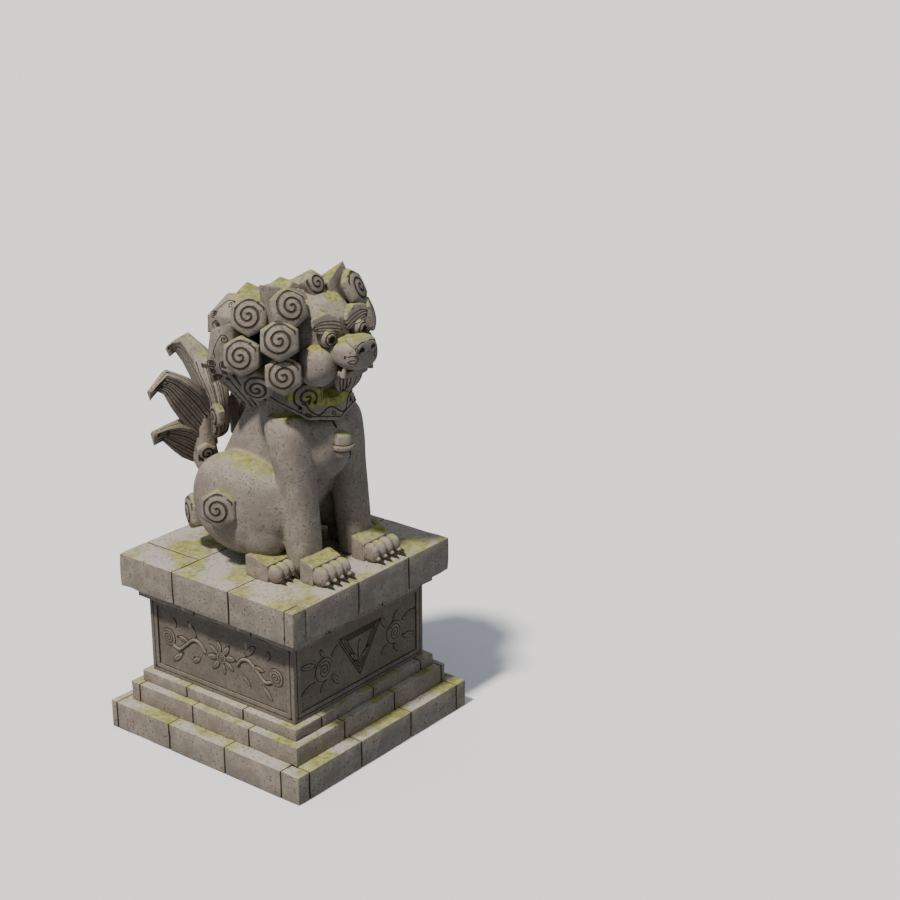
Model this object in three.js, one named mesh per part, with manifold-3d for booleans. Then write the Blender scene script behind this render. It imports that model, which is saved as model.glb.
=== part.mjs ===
// Komainu statue: a carved stone guardian lion dog seated on a stepped and panelled masonry plinth.
// Millimetres, +Z up, the lion looks along -Y. The origin is the middle of the plinth's underside.
import * as THREE from 'three';
import { mergeVertices } from 'three/addons/utils/BufferGeometryUtils.js';
import Module from 'manifold-3d';

const wasm = await Module();
wasm.setup();

// Driving dimensions of the plinth
const JOINT = 3; // width of an open masonry joint

// Each course: half its width, the height of its top, and the places of its joints.
// rows are the joints across the plinth; front and back are the joints inside the two outer rows.
const COURSES = {
  bottom_step: {
    half: 515,
    top: 119,
    rows: [-423, -126, 183, 482],
    front: [-452, -150, 156, 453],
    back: [-300, 0, 300],
  },
  middle_step: {
    half: 455,
    top: 200,
    rows: [-203, 104, 405],
    front: [-179, 126, 429],
    back: [-300, 0, 300],
  },
  upper_step: {
    half: 420,
    top: 249,
    rows: [-141, 168],
    front: [-272, 36, 335],
    back: [-215, 215],
  },
  neck: {
    half: 419,
    bottom: 576,
    top: 623,
    rows: [-200, 105],
    front: [-212, 100],
    back: [-150, 150],
  },
  cap: {
    half: 466,
    top: 763,
    rows: [-133, 168],
    front: [-93, 210],
    back: [-315, 0, 315],
  },
};
const CAP_CORNER = { x: 70, y: 44 }; // small closing stone at the cap's front corner
const DADO = { half: 389, bottom: 249, top: 576 };

// Panels carved into the dado: a sunk field in a raised frame, with low relief standing in the field
const PANEL = { half: 350, low: 283, high: 544, sink: 6, relief: 5 };
const FIELD_MIDDLE = 413; // height of the middle of the sunk field
const ROSETTE = { out: 292, up: 4, radius: 37, sides: 10 };
const FLOWER = { petals: 8, reach: 78, half: 13, heart: 25 };
const VINE = { path: [[270, -22], [234, -33], [196, -4], [150, 31], [112, 24], [85, -7]], half: 6 };
const SUN = { out: 213, radius: 48, sides: 12 };
const TRIANGLE = { outer: [[-130, 92], [130, 92], [0, -106]], bands: [0, 10, 20], deep: 3 };
const SPRIG = [
  [0, -42, 0, 50, 12],
  [-2, -40, -62, 6, 9],
  [2, -40, 60, 2, 9],
];
// Leaves are [root across, root up, tip across, tip up, half width], measured from the field's middle
const SIDE_LEAVES = [
  [-260, 99, -247, 58, 8],
  [-184, 105, -133, 49, 12],
  [-237, 22, -179, 16, 11],
  [-275, -98, -216, -46, 13],
  [-163, -68, -115, -38, 12],
  [131, 47, 187, 104, 14],
  [247, 59, 260, 103, 10],
  [172, 14, 233, 10, 10],
  [111, -38, 157, -78, 9],
  [212, -50, 273, -104, 12],
];
// Leaves round the left sun; the right sun has the same ones turned half round
const SUN_LEAVES = [
  [-344, 54, -262, 36, 13],
  [-233, 88, -206, 50, 9],
  [-166, 36, -129, 72, 9],
  [-167, -38, -129, -92, 12],
  [-237, -92, -203, -51, 9],
  [-340, -58, -259, -37, 10],
];

// Stone of the figure and of the plinth
const STONE = { color: 0x8f877b, roughness: 0.93, metalness: 0 };
const CARVED_STONE = { color: 0x857c70, roughness: 0.92, metalness: 0 };

const EPSILON = 1e-4;
const SMALLEST_FACET = 1.5; // facets thinner than this are merged into their neighbours

// A closed surface becomes a solid that can be joined and cut.
function solid(geometry) {
  const plain = geometry.index ? geometry.toNonIndexed() : geometry.clone();
  plain.deleteAttribute('normal');
  plain.deleteAttribute('uv');
  const merged = mergeVertices(plain, EPSILON);
  return new wasm.Manifold(
    new wasm.Mesh({
      numProp: 3,
      vertProperties: new Float32Array(merged.attributes.position.array),
      triVerts: new Uint32Array(merged.index.array),
    }),
  );
}

// A solid becomes a surface again.
function geometryOf(body) {
  const mesh = body.getMesh();
  const geometry = new THREE.BufferGeometry();
  geometry.setAttribute('position', new THREE.BufferAttribute(new Float32Array(mesh.vertProperties), 3));
  geometry.setIndex(new THREE.BufferAttribute(new Uint32Array(mesh.triVerts), 1));
  geometry.computeVertexNormals();
  return geometry;
}

// The geometry on the other side of the plane x = 0, with its faces still pointing out.
function mirrored(geometry) {
  const copy = geometry.clone();
  copy.scale(-1, 1, 1);
  const index = copy.index;
  for (let i = 0; i < index.count; i += 3) {
    const first = index.getX(i);
    index.setX(i, index.getX(i + 2));
    index.setX(i + 2, first);
  }
  return copy;
}

// A point of a rounded square outline: power 2 is an ellipse, larger powers are boxier.
function outlinePoint(angle, a, b, power) {
  const c = Math.cos(angle);
  const s = Math.sin(angle);
  const u = a * Math.sign(c) * Math.abs(c) ** (2 / power);
  const v = b * Math.sign(s) * Math.abs(s) ** (2 / power);
  return [u, v];
}

// Six times the volume inside a closed surface; negative when its faces point in.
function signedVolume(positions, index) {
  let sum = 0;
  const a = new THREE.Vector3();
  const b = new THREE.Vector3();
  const c = new THREE.Vector3();
  for (let i = 0; i < index.length; i += 3) {
    a.fromArray(positions, 3 * index[i]);
    b.fromArray(positions, 3 * index[i + 1]);
    c.fromArray(positions, 3 * index[i + 2]);
    sum += a.dot(b.cross(c));
  }
  return sum;
}

// A skin over rings of equal count, closed at both ends by a fan.
function skin(rings) {
  const sides = rings[0].length;
  const positions = [];
  const index = [];
  for (const ring of rings) for (const p of ring) positions.push(p.x, p.y, p.z);
  for (let r = 0; r + 1 < rings.length; r += 1) {
    for (let i = 0; i < sides; i += 1) {
      const a = r * sides + i;
      const b = r * sides + ((i + 1) % sides);
      index.push(a, b, b + sides, a, b + sides, a + sides);
    }
  }
  [rings[0], rings[rings.length - 1]].forEach((ring, end) => {
    const middle = ring.reduce((sum, p) => sum.add(p), new THREE.Vector3()).divideScalar(sides);
    const centre = positions.length / 3;
    positions.push(middle.x, middle.y, middle.z);
    const base = end === 0 ? 0 : (rings.length - 1) * sides;
    for (let i = 0; i < sides; i += 1) {
      const a = base + i;
      const b = base + ((i + 1) % sides);
      if (end === 0) index.push(centre, b, a);
      else index.push(centre, a, b);
    }
  });
  if (signedVolume(positions, index) < 0) index.reverse();
  const geometry = new THREE.BufferGeometry();
  geometry.setAttribute('position', new THREE.BufferAttribute(new Float32Array(positions), 3));
  geometry.setIndex(index);
  return geometry;
}

// Rings on the plane of two axes, skinned from the first to the last.
// Each ring is [centre x, y, z, half width, half height].
function loft(rings, across, up, { sides = 12, power = 2.2, turn = 0 } = {}) {
  const u = new THREE.Vector3(...across);
  const v = new THREE.Vector3(...up);
  return skin(
    rings.map(([x, y, z, a, b]) => {
      const ring = [];
      for (let i = 0; i < sides; i += 1) {
        const [p, q] = outlinePoint(turn + (2 * Math.PI * i) / sides, a, b, power);
        ring.push(new THREE.Vector3(x, y, z).addScaledVector(u, p).addScaledVector(v, q));
      }
      return ring;
    }),
  );
}

const X_AXIS = [1, 0, 0];
const Y_AXIS = [0, 1, 0];
const Z_AXIS = [0, 0, 1];

// Rings that lie flat, from the lowest to the highest.
const standing = (rings, options) => loft(rings, X_AXIS, Y_AXIS, options);
// Rings that stand across the figure, from the back to the front.
const reaching = (rings, options) => loft(rings, X_AXIS, Z_AXIS, options);

function ellipsoid([x, y, z], [rx, ry, rz], around = 12, along = 8) {
  const ball = new THREE.SphereGeometry(1, around, along);
  ball.scale(rx, rz, ry);
  ball.rotateX(Math.PI / 2);
  ball.translate(x, y, z);
  const merged = ball.toNonIndexed();
  merged.deleteAttribute('normal');
  merged.deleteAttribute('uv');
  return mergeVertices(merged, EPSILON);
}

// The frame of a boss that faces along a direction: its third axis is the facing.
function facing(at, normal) {
  const w = new THREE.Vector3(...normal).normalize();
  const u = new THREE.Vector3(-w.y, w.x, 0).normalize();
  const v = new THREE.Vector3().crossVectors(w, u);
  return new THREE.Matrix4().makeBasis(u, v, w).setPosition(...at);
}

// A curl of the mane: a thick boss with few sides and a bevelled face
const CURL = { sides: 6, bevel: 0.78, rise: 0.16, turns: 1.35, start: 0.12, end: 0.7, groove: 0.075 };

function curlBoss(at, normal, radius, thick) {
  const rings = [
    [-thick, radius * 0.85],
    [-radius * CURL.rise, radius],
    [0, radius * CURL.bevel],
  ].map(([height, r]) => {
    const ring = [];
    for (let i = 0; i < CURL.sides; i += 1) {
      const angle = Math.PI / 2 + (2 * Math.PI * i) / CURL.sides;
      ring.push(new THREE.Vector3(r * Math.cos(angle), r * Math.sin(angle), height));
    }
    return ring;
  });
  return skin(rings).applyMatrix4(facing(at, normal));
}

const GROOVE_OVER = 0.1; // how far a groove's cutter stands over the face it cuts

// The groove that winds from the middle of a curl to its rim, as a cutter of V section
function curlGroove(at, normal, radius, hand, steps = 7, depth = radius * 0.1) {
  const width = radius * CURL.groove;
  const rings = [];
  for (let i = 0; i <= steps; i += 1) {
    const t = i / steps;
    const angle = hand * (CURL.turns * 2 * Math.PI * t + 0.6);
    const r = radius * (CURL.start + (CURL.end - CURL.start) * t);
    const out = new THREE.Vector3(Math.cos(angle), Math.sin(angle), 0);
    rings.push([
      out.clone().multiplyScalar(r - width).setZ(GROOVE_OVER),
      out.clone().multiplyScalar(r).setZ(-depth),
      out.clone().multiplyScalar(r + width).setZ(GROOVE_OVER),
    ]);
  }
  return skin(rings).applyMatrix4(facing(at, normal));
}

// Body of the lion, from the rump on the cap to the neck
const TRUNK = [
  [0, 150, 0, 100, 100],
  [0, 120, 60, 150, 160],
  [0, 78, 200, 185, 235],
  [0, 20, 350, 182, 242],
  [0, -20, 466, 172, 218],
  [0, -45, 560, 164, 182],
  [0, -70, 655, 152, 150],
  [0, -85, 770, 150, 150],
];
const FRONT_LEG = [
  [-146, -244, 0, 68, 50],
  [-146, -236, 110, 71, 60],
  [-145, -222, 250, 73, 63],
  [-144, -206, 375, 76, 68],
  [-148, -190, 466, 80, 76],
  [-146, -168, 566, 80, 82],
  [-134, -152, 620, 62, 66],
];
const HAUNCH = { at: [-192, 32, 236], size: [140, 240, 204] };
const KNEE = { at: [-208, -88, 145], size: [90, 100, 112] };
const CHEST = { at: [0, -165, 470], size: [140, 150, 155] };

// Paws: a block, four toes and four claws each
const FRONT_PAW = {
  x: -149,
  back: -286,
  heel: -302,
  front: -372,
  half: 84,
  height: 93,
  reach: 34,
  claw: 45,
};
const HIND_PAW = {
  x: -237,
  back: -78,
  heel: -125,
  front: -214,
  half: 77,
  height: 86,
  reach: 31,
  claw: 33,
};
const TOE = { count: 4, half: 23, clawHalf: 7 };

function paw({ x, back, heel, front, half, height, reach, claw }) {
  const parts = [
    reaching(
      [
        [x, back, height * 0.5, half * 0.9, height * 0.48],
        [x, heel, height * 0.5, half, height * 0.5],
        [x, front, height * 0.42, half * 0.97, height * 0.4],
      ],
      { sides: 8, power: 4, turn: Math.PI / 8 },
    ),
  ];
  const pitch = (2 * half - 2 * TOE.half) / (TOE.count - 1);
  for (let i = 0; i < TOE.count; i += 1) {
    const toeX = x - half + TOE.half + i * pitch;
    parts.push(ellipsoid([toeX, front, height * 0.42], [TOE.half, reach, height * 0.42], 7, 4));
    parts.push(
      reaching(
        [
          [toeX, front, height * 0.38, TOE.clawHalf * 1.6, TOE.clawHalf * 2],
          [toeX, front - reach, height * 0.24, TOE.clawHalf, TOE.clawHalf * 1.5],
          [toeX, front - reach - claw, 7, 1.5, 2],
        ],
        { sides: 4, power: 2 },
      ),
    );
  }
  return parts;
}

// Head
const SKULL = [
  [0, 20, 900, 180, 150],
  [0, -95, 910, 188, 164],
  [0, -190, 905, 168, 162],
  [0, -285, 888, 144, 148],
  [0, -330, 868, 118, 96],
];
const MUZZLE = [
  [0, -280, 876, 84, 64],
  [0, -355, 878, 80, 57],
  [0, -420, 876, 68, 54],
  [0, -446, 884, 52, 40],
];
const NOSE = { at: [0, -428, 918], size: [54, 22, 18] };
const JAW = [
  [0, -250, 775, 78, 52],
  [0, -350, 785, 60, 32],
  [0, -392, 788, 42, 24],
];
const BEARD = [
  [0, -325, 726, 22, 20],
  [0, -345, 760, 44, 30],
  [0, -355, 790, 54, 36],
];
const CHEEK = { at: [-108, -269, 840], size: [72, 70, 72] };
const EYE = { at: [-88, -334, 942], radius: 27 };
const BROW = [
  [-162, -308, 1000, 14, 18],
  [-128, -320, 1005, 28, 30],
  [-88, -324, 1003, 34, 33],
  [-48, -327, 992, 30, 28],
  [-12, -331, 977, 12, 15],
];
const FANG = [
  [-58, -376, 786, 9, 9],
  [-58, -384, 812, 7, 7],
  [-58, -380, 842, 1, 1],
];

// Mane, in two tiers at the back
const MANE = [
  [0, -55, 640, 150, 150],
  [0, -12, 735, 266, 186],
  [0, 5, 812, 298, 214],
  [0, 0, 868, 282, 208],
  [0, 3, 884, 284, 220],
  [0, -4, 962, 276, 218],
  [0, -48, 1036, 222, 172],
  [0, -75, 1060, 150, 115],
];
const EAR = {
  front: [[-62, -192, 1030], [-236, -160, 970], [-241, -131, 1141], [-66, -186, 1102]],
  thick: 34,
  tipThick: 4,
};
const TUFT = { at: [-163, -176, 1075], radius: 44, tip: 1144 };

// Curls of one side: centre of the face, facing, radius, thickness
const CURLS = [
  { at: [-281, -119, 1033], normal: [-0.78, -0.52, 0.33], radius: 76, thick: 95 },
  { at: [-187, -248, 1066], normal: [-0.35, -0.82, 0.42], radius: 86, thick: 95 },
  { at: [-324, -113, 886], normal: [-0.87, -0.46, 0.15], radius: 78, thick: 95 },
  { at: [-258, -252, 956], normal: [-0.74, -0.62, 0.25], radius: 80, thick: 95 },
  { at: [-268, -135, 753], normal: [-0.86, -0.5, 0], radius: 60, thick: 80 },
  { at: [-252, -257, 820], normal: [-0.72, -0.68, 0.12], radius: 74, thick: 90 },
  { at: [-146, -260, 706], normal: [-0.5, -0.84, 0.1], radius: 54, thick: 70 },
];
const TOPKNOT = { at: [0, -204, 1112], normal: [0, -0.9, 0.43], radius: 56, thick: 60 };
const BODY_CURLS = [
  { at: [-337, 17, 260], normal: [-0.93, -0.15, 0.12], radius: 74, thick: 60 },
  { at: [-247, 290, 160], normal: [-0.65, 0.75, -0.05], radius: 66, thick: 60 },
];

// Collar, carved as a raised band with a rim, and its bell
const COLLAR = [
  [0, -126, 652, 150, 176],
  [0, -128, 670, 164, 192],
  [0, -124, 700, 160, 180],
  [0, -110, 735, 140, 150],
];
const COLLAR_SLOPE = [0, 0.928, 0.371];
const BELL = { at: [0, -318, 500], radius: 46, band: 53 };

// Tail: one lock bends back, three pairs of side locks bend outward
const STALK = [
  [0, 190, 300, 70, 60],
  [0, 290, 385, 95, 60],
  [0, 320, 480, 110, 58],
  [0, 340, 600, 100, 58],
  [0, 355, 700, 70, 50],
];
// Stations of a lock from its root to its tip: where its outer edge is, where its inner edge is,
// how far back it stands, and how thick it is
const SIDE_LOCKS = [
  [
    { outer: [-40, 560], inner: [-90, 400], back: 330, thick: 70 },
    { outer: [-150, 700], inner: [-196, 512], back: 345, thick: 78 },
    { outer: [-226, 716], inner: [-238, 590], back: 372, thick: 74 },
    { outer: [-290, 692], inner: [-284, 612], back: 376, thick: 50 },
    { outer: [-339, 663], inner: [-333, 620], back: 376, thick: 22 },
  ],
  [
    { outer: [-60, 440], inner: [-90, 300], back: 290, thick: 66 },
    { outer: [-150, 515], inner: [-196, 345], back: 310, thick: 76 },
    { outer: [-204, 516], inner: [-232, 372], back: 330, thick: 72 },
    { outer: [-285, 508], inner: [-300, 424], back: 345, thick: 48 },
    { outer: [-359, 492], inner: [-368, 450], back: 345, thick: 22 },
  ],
];
// The same for the lock that bends back; its first number is measured to the rear
const BACK_LOCK = [
  { outer: [330, 640], inner: [330, 430], thick: 110 },
  { outer: [380, 735], inner: [430, 518], thick: 100 },
  { outer: [432, 779], inner: [480, 587], thick: 90 },
  { outer: [499, 792], inner: [529, 675], thick: 76 },
  { outer: [570, 757], inner: [578, 702], thick: 50 },
  { outer: [628, 712], inner: [613, 676], thick: 22 },
];

// A blade through stations on a standing plane; point() sets a place on it, side is its thickness axis.
function lock(stations, point, side) {
  const rings = stations.map(({ outer, inner, back = 0, thick }) => {
    const high = point(outer, back);
    const low = point(inner, back);
    const ring = [high.clone()];
    for (const share of [0.3, 0.75]) {
      ring.push(high.clone().lerp(low, share).addScaledVector(side, thick / 2));
    }
    ring.push(low.clone());
    for (const share of [0.75, 0.3]) {
      ring.push(high.clone().lerp(low, share).addScaledVector(side, -thick / 2));
    }
    return ring;
  });
  return skin(rings);
}

function bothSides(geometry) {
  return [geometry, mirrored(geometry)];
}

function lionFigure() {
  const parts = [];
  const grooves = [];
  const both = (...geometries) => geometries.forEach((geometry) => parts.push(...bothSides(geometry)));
  parts.push(standing(TRUNK, { sides: 12, power: 2.4 }));
  both(standing(FRONT_LEG, { sides: 8, power: 2.5, turn: Math.PI / 8 }));
  both(ellipsoid(HAUNCH.at, HAUNCH.size, 12, 8), ellipsoid(KNEE.at, KNEE.size, 8, 6));
  parts.push(ellipsoid(CHEST.at, CHEST.size, 9, 6));
  both(...paw(FRONT_PAW), ...paw(HIND_PAW));

  parts.push(reaching(SKULL, { sides: 12, power: 2.4 }));
  parts.push(reaching(MUZZLE, { sides: 10, power: 2.6 }));
  parts.push(ellipsoid(NOSE.at, NOSE.size, 8, 5));
  parts.push(reaching(JAW, { sides: 8, power: 2.4 }));
  parts.push(standing(BEARD, { sides: 7, power: 2 }));
  both(ellipsoid(CHEEK.at, CHEEK.size, 9, 6));
  both(ellipsoid(EYE.at, [EYE.radius, EYE.radius, EYE.radius], 8, 5));
  both(loft(BROW, Y_AXIS, Z_AXIS, { sides: 8, power: 2.2 }));
  both(standing(FANG, { sides: 5, power: 2 }));

  parts.push(standing(MANE, { sides: 12, power: 2.9 }));
  const earFront = EAR.front.map((p) => new THREE.Vector3(...p));
  const earBack = earFront.map((p, i) => p.clone().setY(p.y + (i === 2 ? EAR.tipThick : EAR.thick)));
  both(skin([earFront, earBack]));
  const [tuftX, tuftY, tuftZ] = TUFT.at;
  both(
    standing(
      [
        [tuftX, tuftY, tuftZ, TUFT.radius, TUFT.radius],
        [tuftX, tuftY, TUFT.tip, 2, 2],
      ],
      { sides: 5, power: 2 },
    ),
  );

  for (const { at, normal, radius, thick } of [...CURLS, ...BODY_CURLS]) {
    both(curlBoss(at, normal, radius, thick));
    grooves.push(...bothSides(curlGroove(at, normal, radius, 1)));
  }
  parts.push(curlBoss(TOPKNOT.at, TOPKNOT.normal, TOPKNOT.radius, TOPKNOT.thick));
  grooves.push(curlGroove(TOPKNOT.at, TOPKNOT.normal, TOPKNOT.radius, 1));

  parts.push(loft(COLLAR, X_AXIS, COLLAR_SLOPE, { sides: 12, power: 2.3 }));
  const [bellX, bellY, bellZ] = BELL.at;
  parts.push(ellipsoid(BELL.at, [BELL.radius, BELL.radius, BELL.radius], 8, 5));
  parts.push(
    standing(
      [
        [bellX, bellY, bellZ - 18, BELL.band, BELL.band],
        [bellX, bellY, bellZ - 4, BELL.band, BELL.band],
      ],
      { sides: 8, power: 2 },
    ),
  );

  parts.push(standing(STALK, { sides: 8, power: 2.2 }));
  const sideways = ([x, z], y) => new THREE.Vector3(x, y, z);
  const backward = ([y, z]) => new THREE.Vector3(0, y, z);
  for (const stations of SIDE_LOCKS) both(lock(stations, sideways, new THREE.Vector3(0, 1, 0)));
  parts.push(lock(BACK_LOCK, backward, new THREE.Vector3(1, 0, 0)));

  let body = solid(parts[0]);
  for (const part of parts.slice(1)) body = body.add(solid(part));
  for (const groove of grooves) body = body.subtract(solid(groove));
  return geometryOf(body.simplify(SMALLEST_FACET));
}

// A flat outline of (across, up) points given a thickness, from depth z0 to z1
function plate(points, z0, z1) {
  const shape = new THREE.Shape(points.map(([x, y]) => new THREE.Vector2(x, y)));
  const geometry = new THREE.ExtrudeGeometry(shape, { depth: z1 - z0, bevelEnabled: false, steps: 1 });
  geometry.translate(0, 0, z0);
  return geometry;
}

function leafOutline([u0, v0, u1, v1, half]) {
  const root = new THREE.Vector2(u0, v0);
  const tip = new THREE.Vector2(u1, v1);
  const along = tip.clone().sub(root).normalize();
  const side = new THREE.Vector2(-along.y, along.x);
  const at = (share, offset) => root.clone().lerp(tip, share).addScaledVector(side, offset).toArray();
  return [at(0, 0), at(0.45, -half), at(1, 0), at(0.45, half)];
}

function discOutline(u, v, radius, sides) {
  const points = [];
  for (let i = 0; i < sides; i += 1) {
    const angle = (2 * Math.PI * i) / sides;
    points.push([u + radius * Math.cos(angle), v + radius * Math.sin(angle)]);
  }
  return points;
}

// A strip of even width along a smooth path
function stripOutline(path, half, steps = 6) {
  const curve = new THREE.CatmullRomCurve3(path.map(([u, v]) => new THREE.Vector3(u, v, 0)));
  const left = [];
  const right = [];
  for (let i = 0; i <= steps; i += 1) {
    const p = curve.getPoint(i / steps);
    const t = curve.getTangent(i / steps);
    left.push([p.x - t.y * half, p.y + t.x * half]);
    right.push([p.x + t.y * half, p.y - t.x * half]);
  }
  return [...left, ...right.reverse()];
}

// Each corner of a triangle moved in by an even distance from its sides
function insetTriangle(points, distance) {
  const corners = points.map(([x, y]) => new THREE.Vector2(x, y));
  const sides = corners.map((p, i) => corners[(i + 1) % 3].distanceTo(corners[(i + 2) % 3]));
  const perimeter = sides[0] + sides[1] + sides[2];
  const middle = new THREE.Vector2();
  corners.forEach((p, i) => middle.addScaledVector(p, sides[i] / perimeter));
  const edge = corners[1].clone().sub(corners[0]);
  const area = Math.abs(edge.cross(corners[2].clone().sub(corners[0]))) / 2;
  const share = distance / ((2 * area) / perimeter);
  return corners.map((p) => p.clone().lerp(middle, share).toArray());
}

// Raised shapes and cut shapes of the two panel designs, in the plane of the field: across, up, out
function vinePanel() {
  const raised = [];
  const cut = [];
  for (let i = 0; i < FLOWER.petals; i += 1) {
    const angle = (2 * Math.PI * (i + 0.25)) / FLOWER.petals;
    const c = Math.cos(angle);
    const s = Math.sin(angle);
    raised.push(leafOutline([12 * c, 12 * s, FLOWER.reach * c, FLOWER.reach * 0.88 * s, FLOWER.half]));
  }
  raised.push(discOutline(0, 0, FLOWER.heart, 10));
  for (const side of [-1, 1]) {
    raised.push(stripOutline(VINE.path.map(([u, v]) => [side * u, v]), VINE.half));
    raised.push(discOutline(side * ROSETTE.out, ROSETTE.up, ROSETTE.radius, ROSETTE.sides));
    cut.push([side * ROSETTE.out, ROSETTE.up, ROSETTE.radius, 1]);
  }
  raised.push(...SIDE_LEAVES.map(leafOutline));
  return { raised, cut };
}

function sunPanel() {
  const raised = [];
  const cut = [];
  for (const side of [-1, 1]) {
    raised.push(discOutline(side * SUN.out, 0, SUN.radius, SUN.sides));
    cut.push([side * SUN.out, 0, SUN.radius, 1]);
    for (const [u0, v0, u1, v1, half] of SUN_LEAVES) {
      raised.push(leafOutline([-side * u0, -side * v0, -side * u1, -side * v1, half]));
    }
  }
  raised.push(...SPRIG.map(leafOutline));
  return { raised, cut };
}

// The dado with its four carved sides
function dadoBlock() {
  const { half, bottom, top } = DADO;
  let body = solid(block([-half, -half, bottom], [half, half, top]));
  for (let face = 0; face < 4; face += 1) {
    const onFace = (geometry) => {
      const placed = geometry.clone();
      placed.rotateX(Math.PI / 2);
      placed.translate(0, -half, FIELD_MIDDLE);
      placed.rotateZ((-face * Math.PI) / 2);
      return placed;
    };
    const low = PANEL.low - FIELD_MIDDLE;
    const high = PANEL.high - FIELD_MIDDLE;
    const field = [[-PANEL.half, low], [PANEL.half, low], [PANEL.half, high], [-PANEL.half, high]];
    body = body.subtract(solid(onFace(plate(field, -PANEL.sink, 10))));
    if (face === 2) continue; // the back is a plain sunk field
    const { raised, cut } = face === 0 ? sunPanel() : vinePanel();
    for (const outline of raised) {
      body = body.add(solid(onFace(plate(outline, -PANEL.sink - 2, -PANEL.sink + PANEL.relief))));
    }
    const level = -PANEL.sink + PANEL.relief;
    for (const [u, v, radius, hand] of cut) {
      const groove = curlGroove([0, 0, 0], [0, -1, 0], radius, hand, 8, 4);
      groove.rotateX(-Math.PI / 2);
      groove.translate(u, v, level);
      body = body.subtract(solid(onFace(groove)));
    }
    if (face === 0) {
      for (const band of TRIANGLE.bands) {
        const ring = solid(onFace(plate(insetTriangle(TRIANGLE.outer, band), -PANEL.sink - 2, level)));
        const hole = solid(onFace(plate(insetTriangle(TRIANGLE.outer, band + 6), -PANEL.sink - 9, 20)));
        body = body.add(ring.subtract(hole));
      }
    }
  }
  return geometryOf(body.simplify(SMALLEST_FACET / 5));
}

// A block of stone between two corners
function block([x0, y0, z0], [x1, y1, z1]) {
  const box = new THREE.BoxGeometry(x1 - x0, y1 - y0, z1 - z0);
  box.translate((x0 + x1) / 2, (y0 + y1) / 2, (z0 + z1) / 2);
  return box;
}

// The stretches between joints, each drawn back from the joint by half its width.
function stretches(from, joints, to) {
  const edges = [from, ...joints, to];
  return edges.slice(1).map((edge, i) => [
    edges[i] + (i === 0 ? 0 : JOINT / 2),
    edge - (i === edges.length - 2 ? 0 : JOINT / 2),
  ]);
}

function courseBlocks(name, bottom) {
  const { half, top, rows, front, back } = COURSES[name];
  const strips = stretches(-half, rows, half);
  const blocks = [];
  strips.forEach(([y0, y1], row) => {
    let joints = [];
    let place = `row${row}`;
    if (row === 0) {
      joints = front;
      place = 'front';
    } else if (row === strips.length - 1) {
      joints = back;
      place = 'back';
    }
    stretches(-half, joints, half).forEach(([x0, x1], i) => {
      const label = joints.length ? `${name}_${place}_${i + 1}` : `${name}_${place}`;
      blocks.push([label, block([x0, y0, bottom], [x1, y1, top])]);
    });
  });
  return blocks;
}

// The small stone that closes the cap's front corner, grown all round by a margin
function cornerStone(margin) {
  const { half, top } = COURSES.cap;
  const low = [-half, -half, COURSES.neck.top];
  const over = margin > 0 ? 10 : 0;
  return block(
    [low[0] - over, low[1] - over, low[2] - over],
    [-half + CAP_CORNER.x + margin, -half + CAP_CORNER.y + margin, top + over],
  );
}

// The front slab of the cap, notched to take the corner stone
function capCornerCut(slab) {
  return geometryOf(solid(slab).subtract(solid(cornerStone(JOINT))));
}

const root = new THREE.Group();

function place(name, geometry, finish, height = 0) {
  const mesh = new THREE.Mesh(geometry, new THREE.MeshStandardMaterial(finish));
  mesh.name = name;
  mesh.position.z = height;
  root.add(mesh);
}

let level = 0;
for (const name of ['bottom_step', 'middle_step', 'upper_step']) {
  for (const [label, geometry] of courseBlocks(name, level)) place(label, geometry, STONE);
  level = COURSES[name].top;
}
place('dado_block', dadoBlock(), CARVED_STONE);
for (const [label, geometry] of courseBlocks('neck', DADO.top)) place(label, geometry, STONE);
for (const [label, geometry] of courseBlocks('cap', COURSES.neck.top)) {
  place(label, label === 'cap_front_1' ? capCornerCut(geometry) : geometry, STONE);
}
place('cap_corner_stone', cornerStone(0), STONE);
place('lion_figure', lionFigure(), CARVED_STONE, COURSES.cap.top);

export default root;
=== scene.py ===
"""Guardian lion of carved stone on its plinth of laid blocks, dressed around the fixed frame."""

import logging
import math
from collections.abc import Callable, Iterable, Sequence
from dataclasses import dataclass, field
from enum import Enum

import bmesh
import bpy
from bmesh.types import BMesh
from mathutils import Matrix, Vector, noise
from mathutils.bvhtree import BVHTree
from mathutils.kdtree import KDTree


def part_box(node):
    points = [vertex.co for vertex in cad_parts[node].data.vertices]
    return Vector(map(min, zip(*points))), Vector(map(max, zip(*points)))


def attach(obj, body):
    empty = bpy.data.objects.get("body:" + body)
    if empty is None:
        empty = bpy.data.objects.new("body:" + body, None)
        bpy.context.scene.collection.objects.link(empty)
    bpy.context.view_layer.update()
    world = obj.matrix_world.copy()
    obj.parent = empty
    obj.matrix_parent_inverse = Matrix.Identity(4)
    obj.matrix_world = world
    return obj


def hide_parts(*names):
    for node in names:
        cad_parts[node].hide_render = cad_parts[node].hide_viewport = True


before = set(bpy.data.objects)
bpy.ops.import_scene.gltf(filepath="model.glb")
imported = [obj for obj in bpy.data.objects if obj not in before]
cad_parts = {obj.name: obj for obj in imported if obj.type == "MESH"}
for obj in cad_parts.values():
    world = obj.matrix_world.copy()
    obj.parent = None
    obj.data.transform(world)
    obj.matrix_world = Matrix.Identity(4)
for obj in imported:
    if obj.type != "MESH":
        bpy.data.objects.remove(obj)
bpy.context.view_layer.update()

log = logging.getLogger("guardian_lion")

Colour = tuple[float, float, float]
Point = tuple[float, float, float]
Ring = tuple[float, float, float, float, float]
Strip = tuple[tuple[float, float], ...]
Place = Callable[[float, float], Vector]

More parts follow.
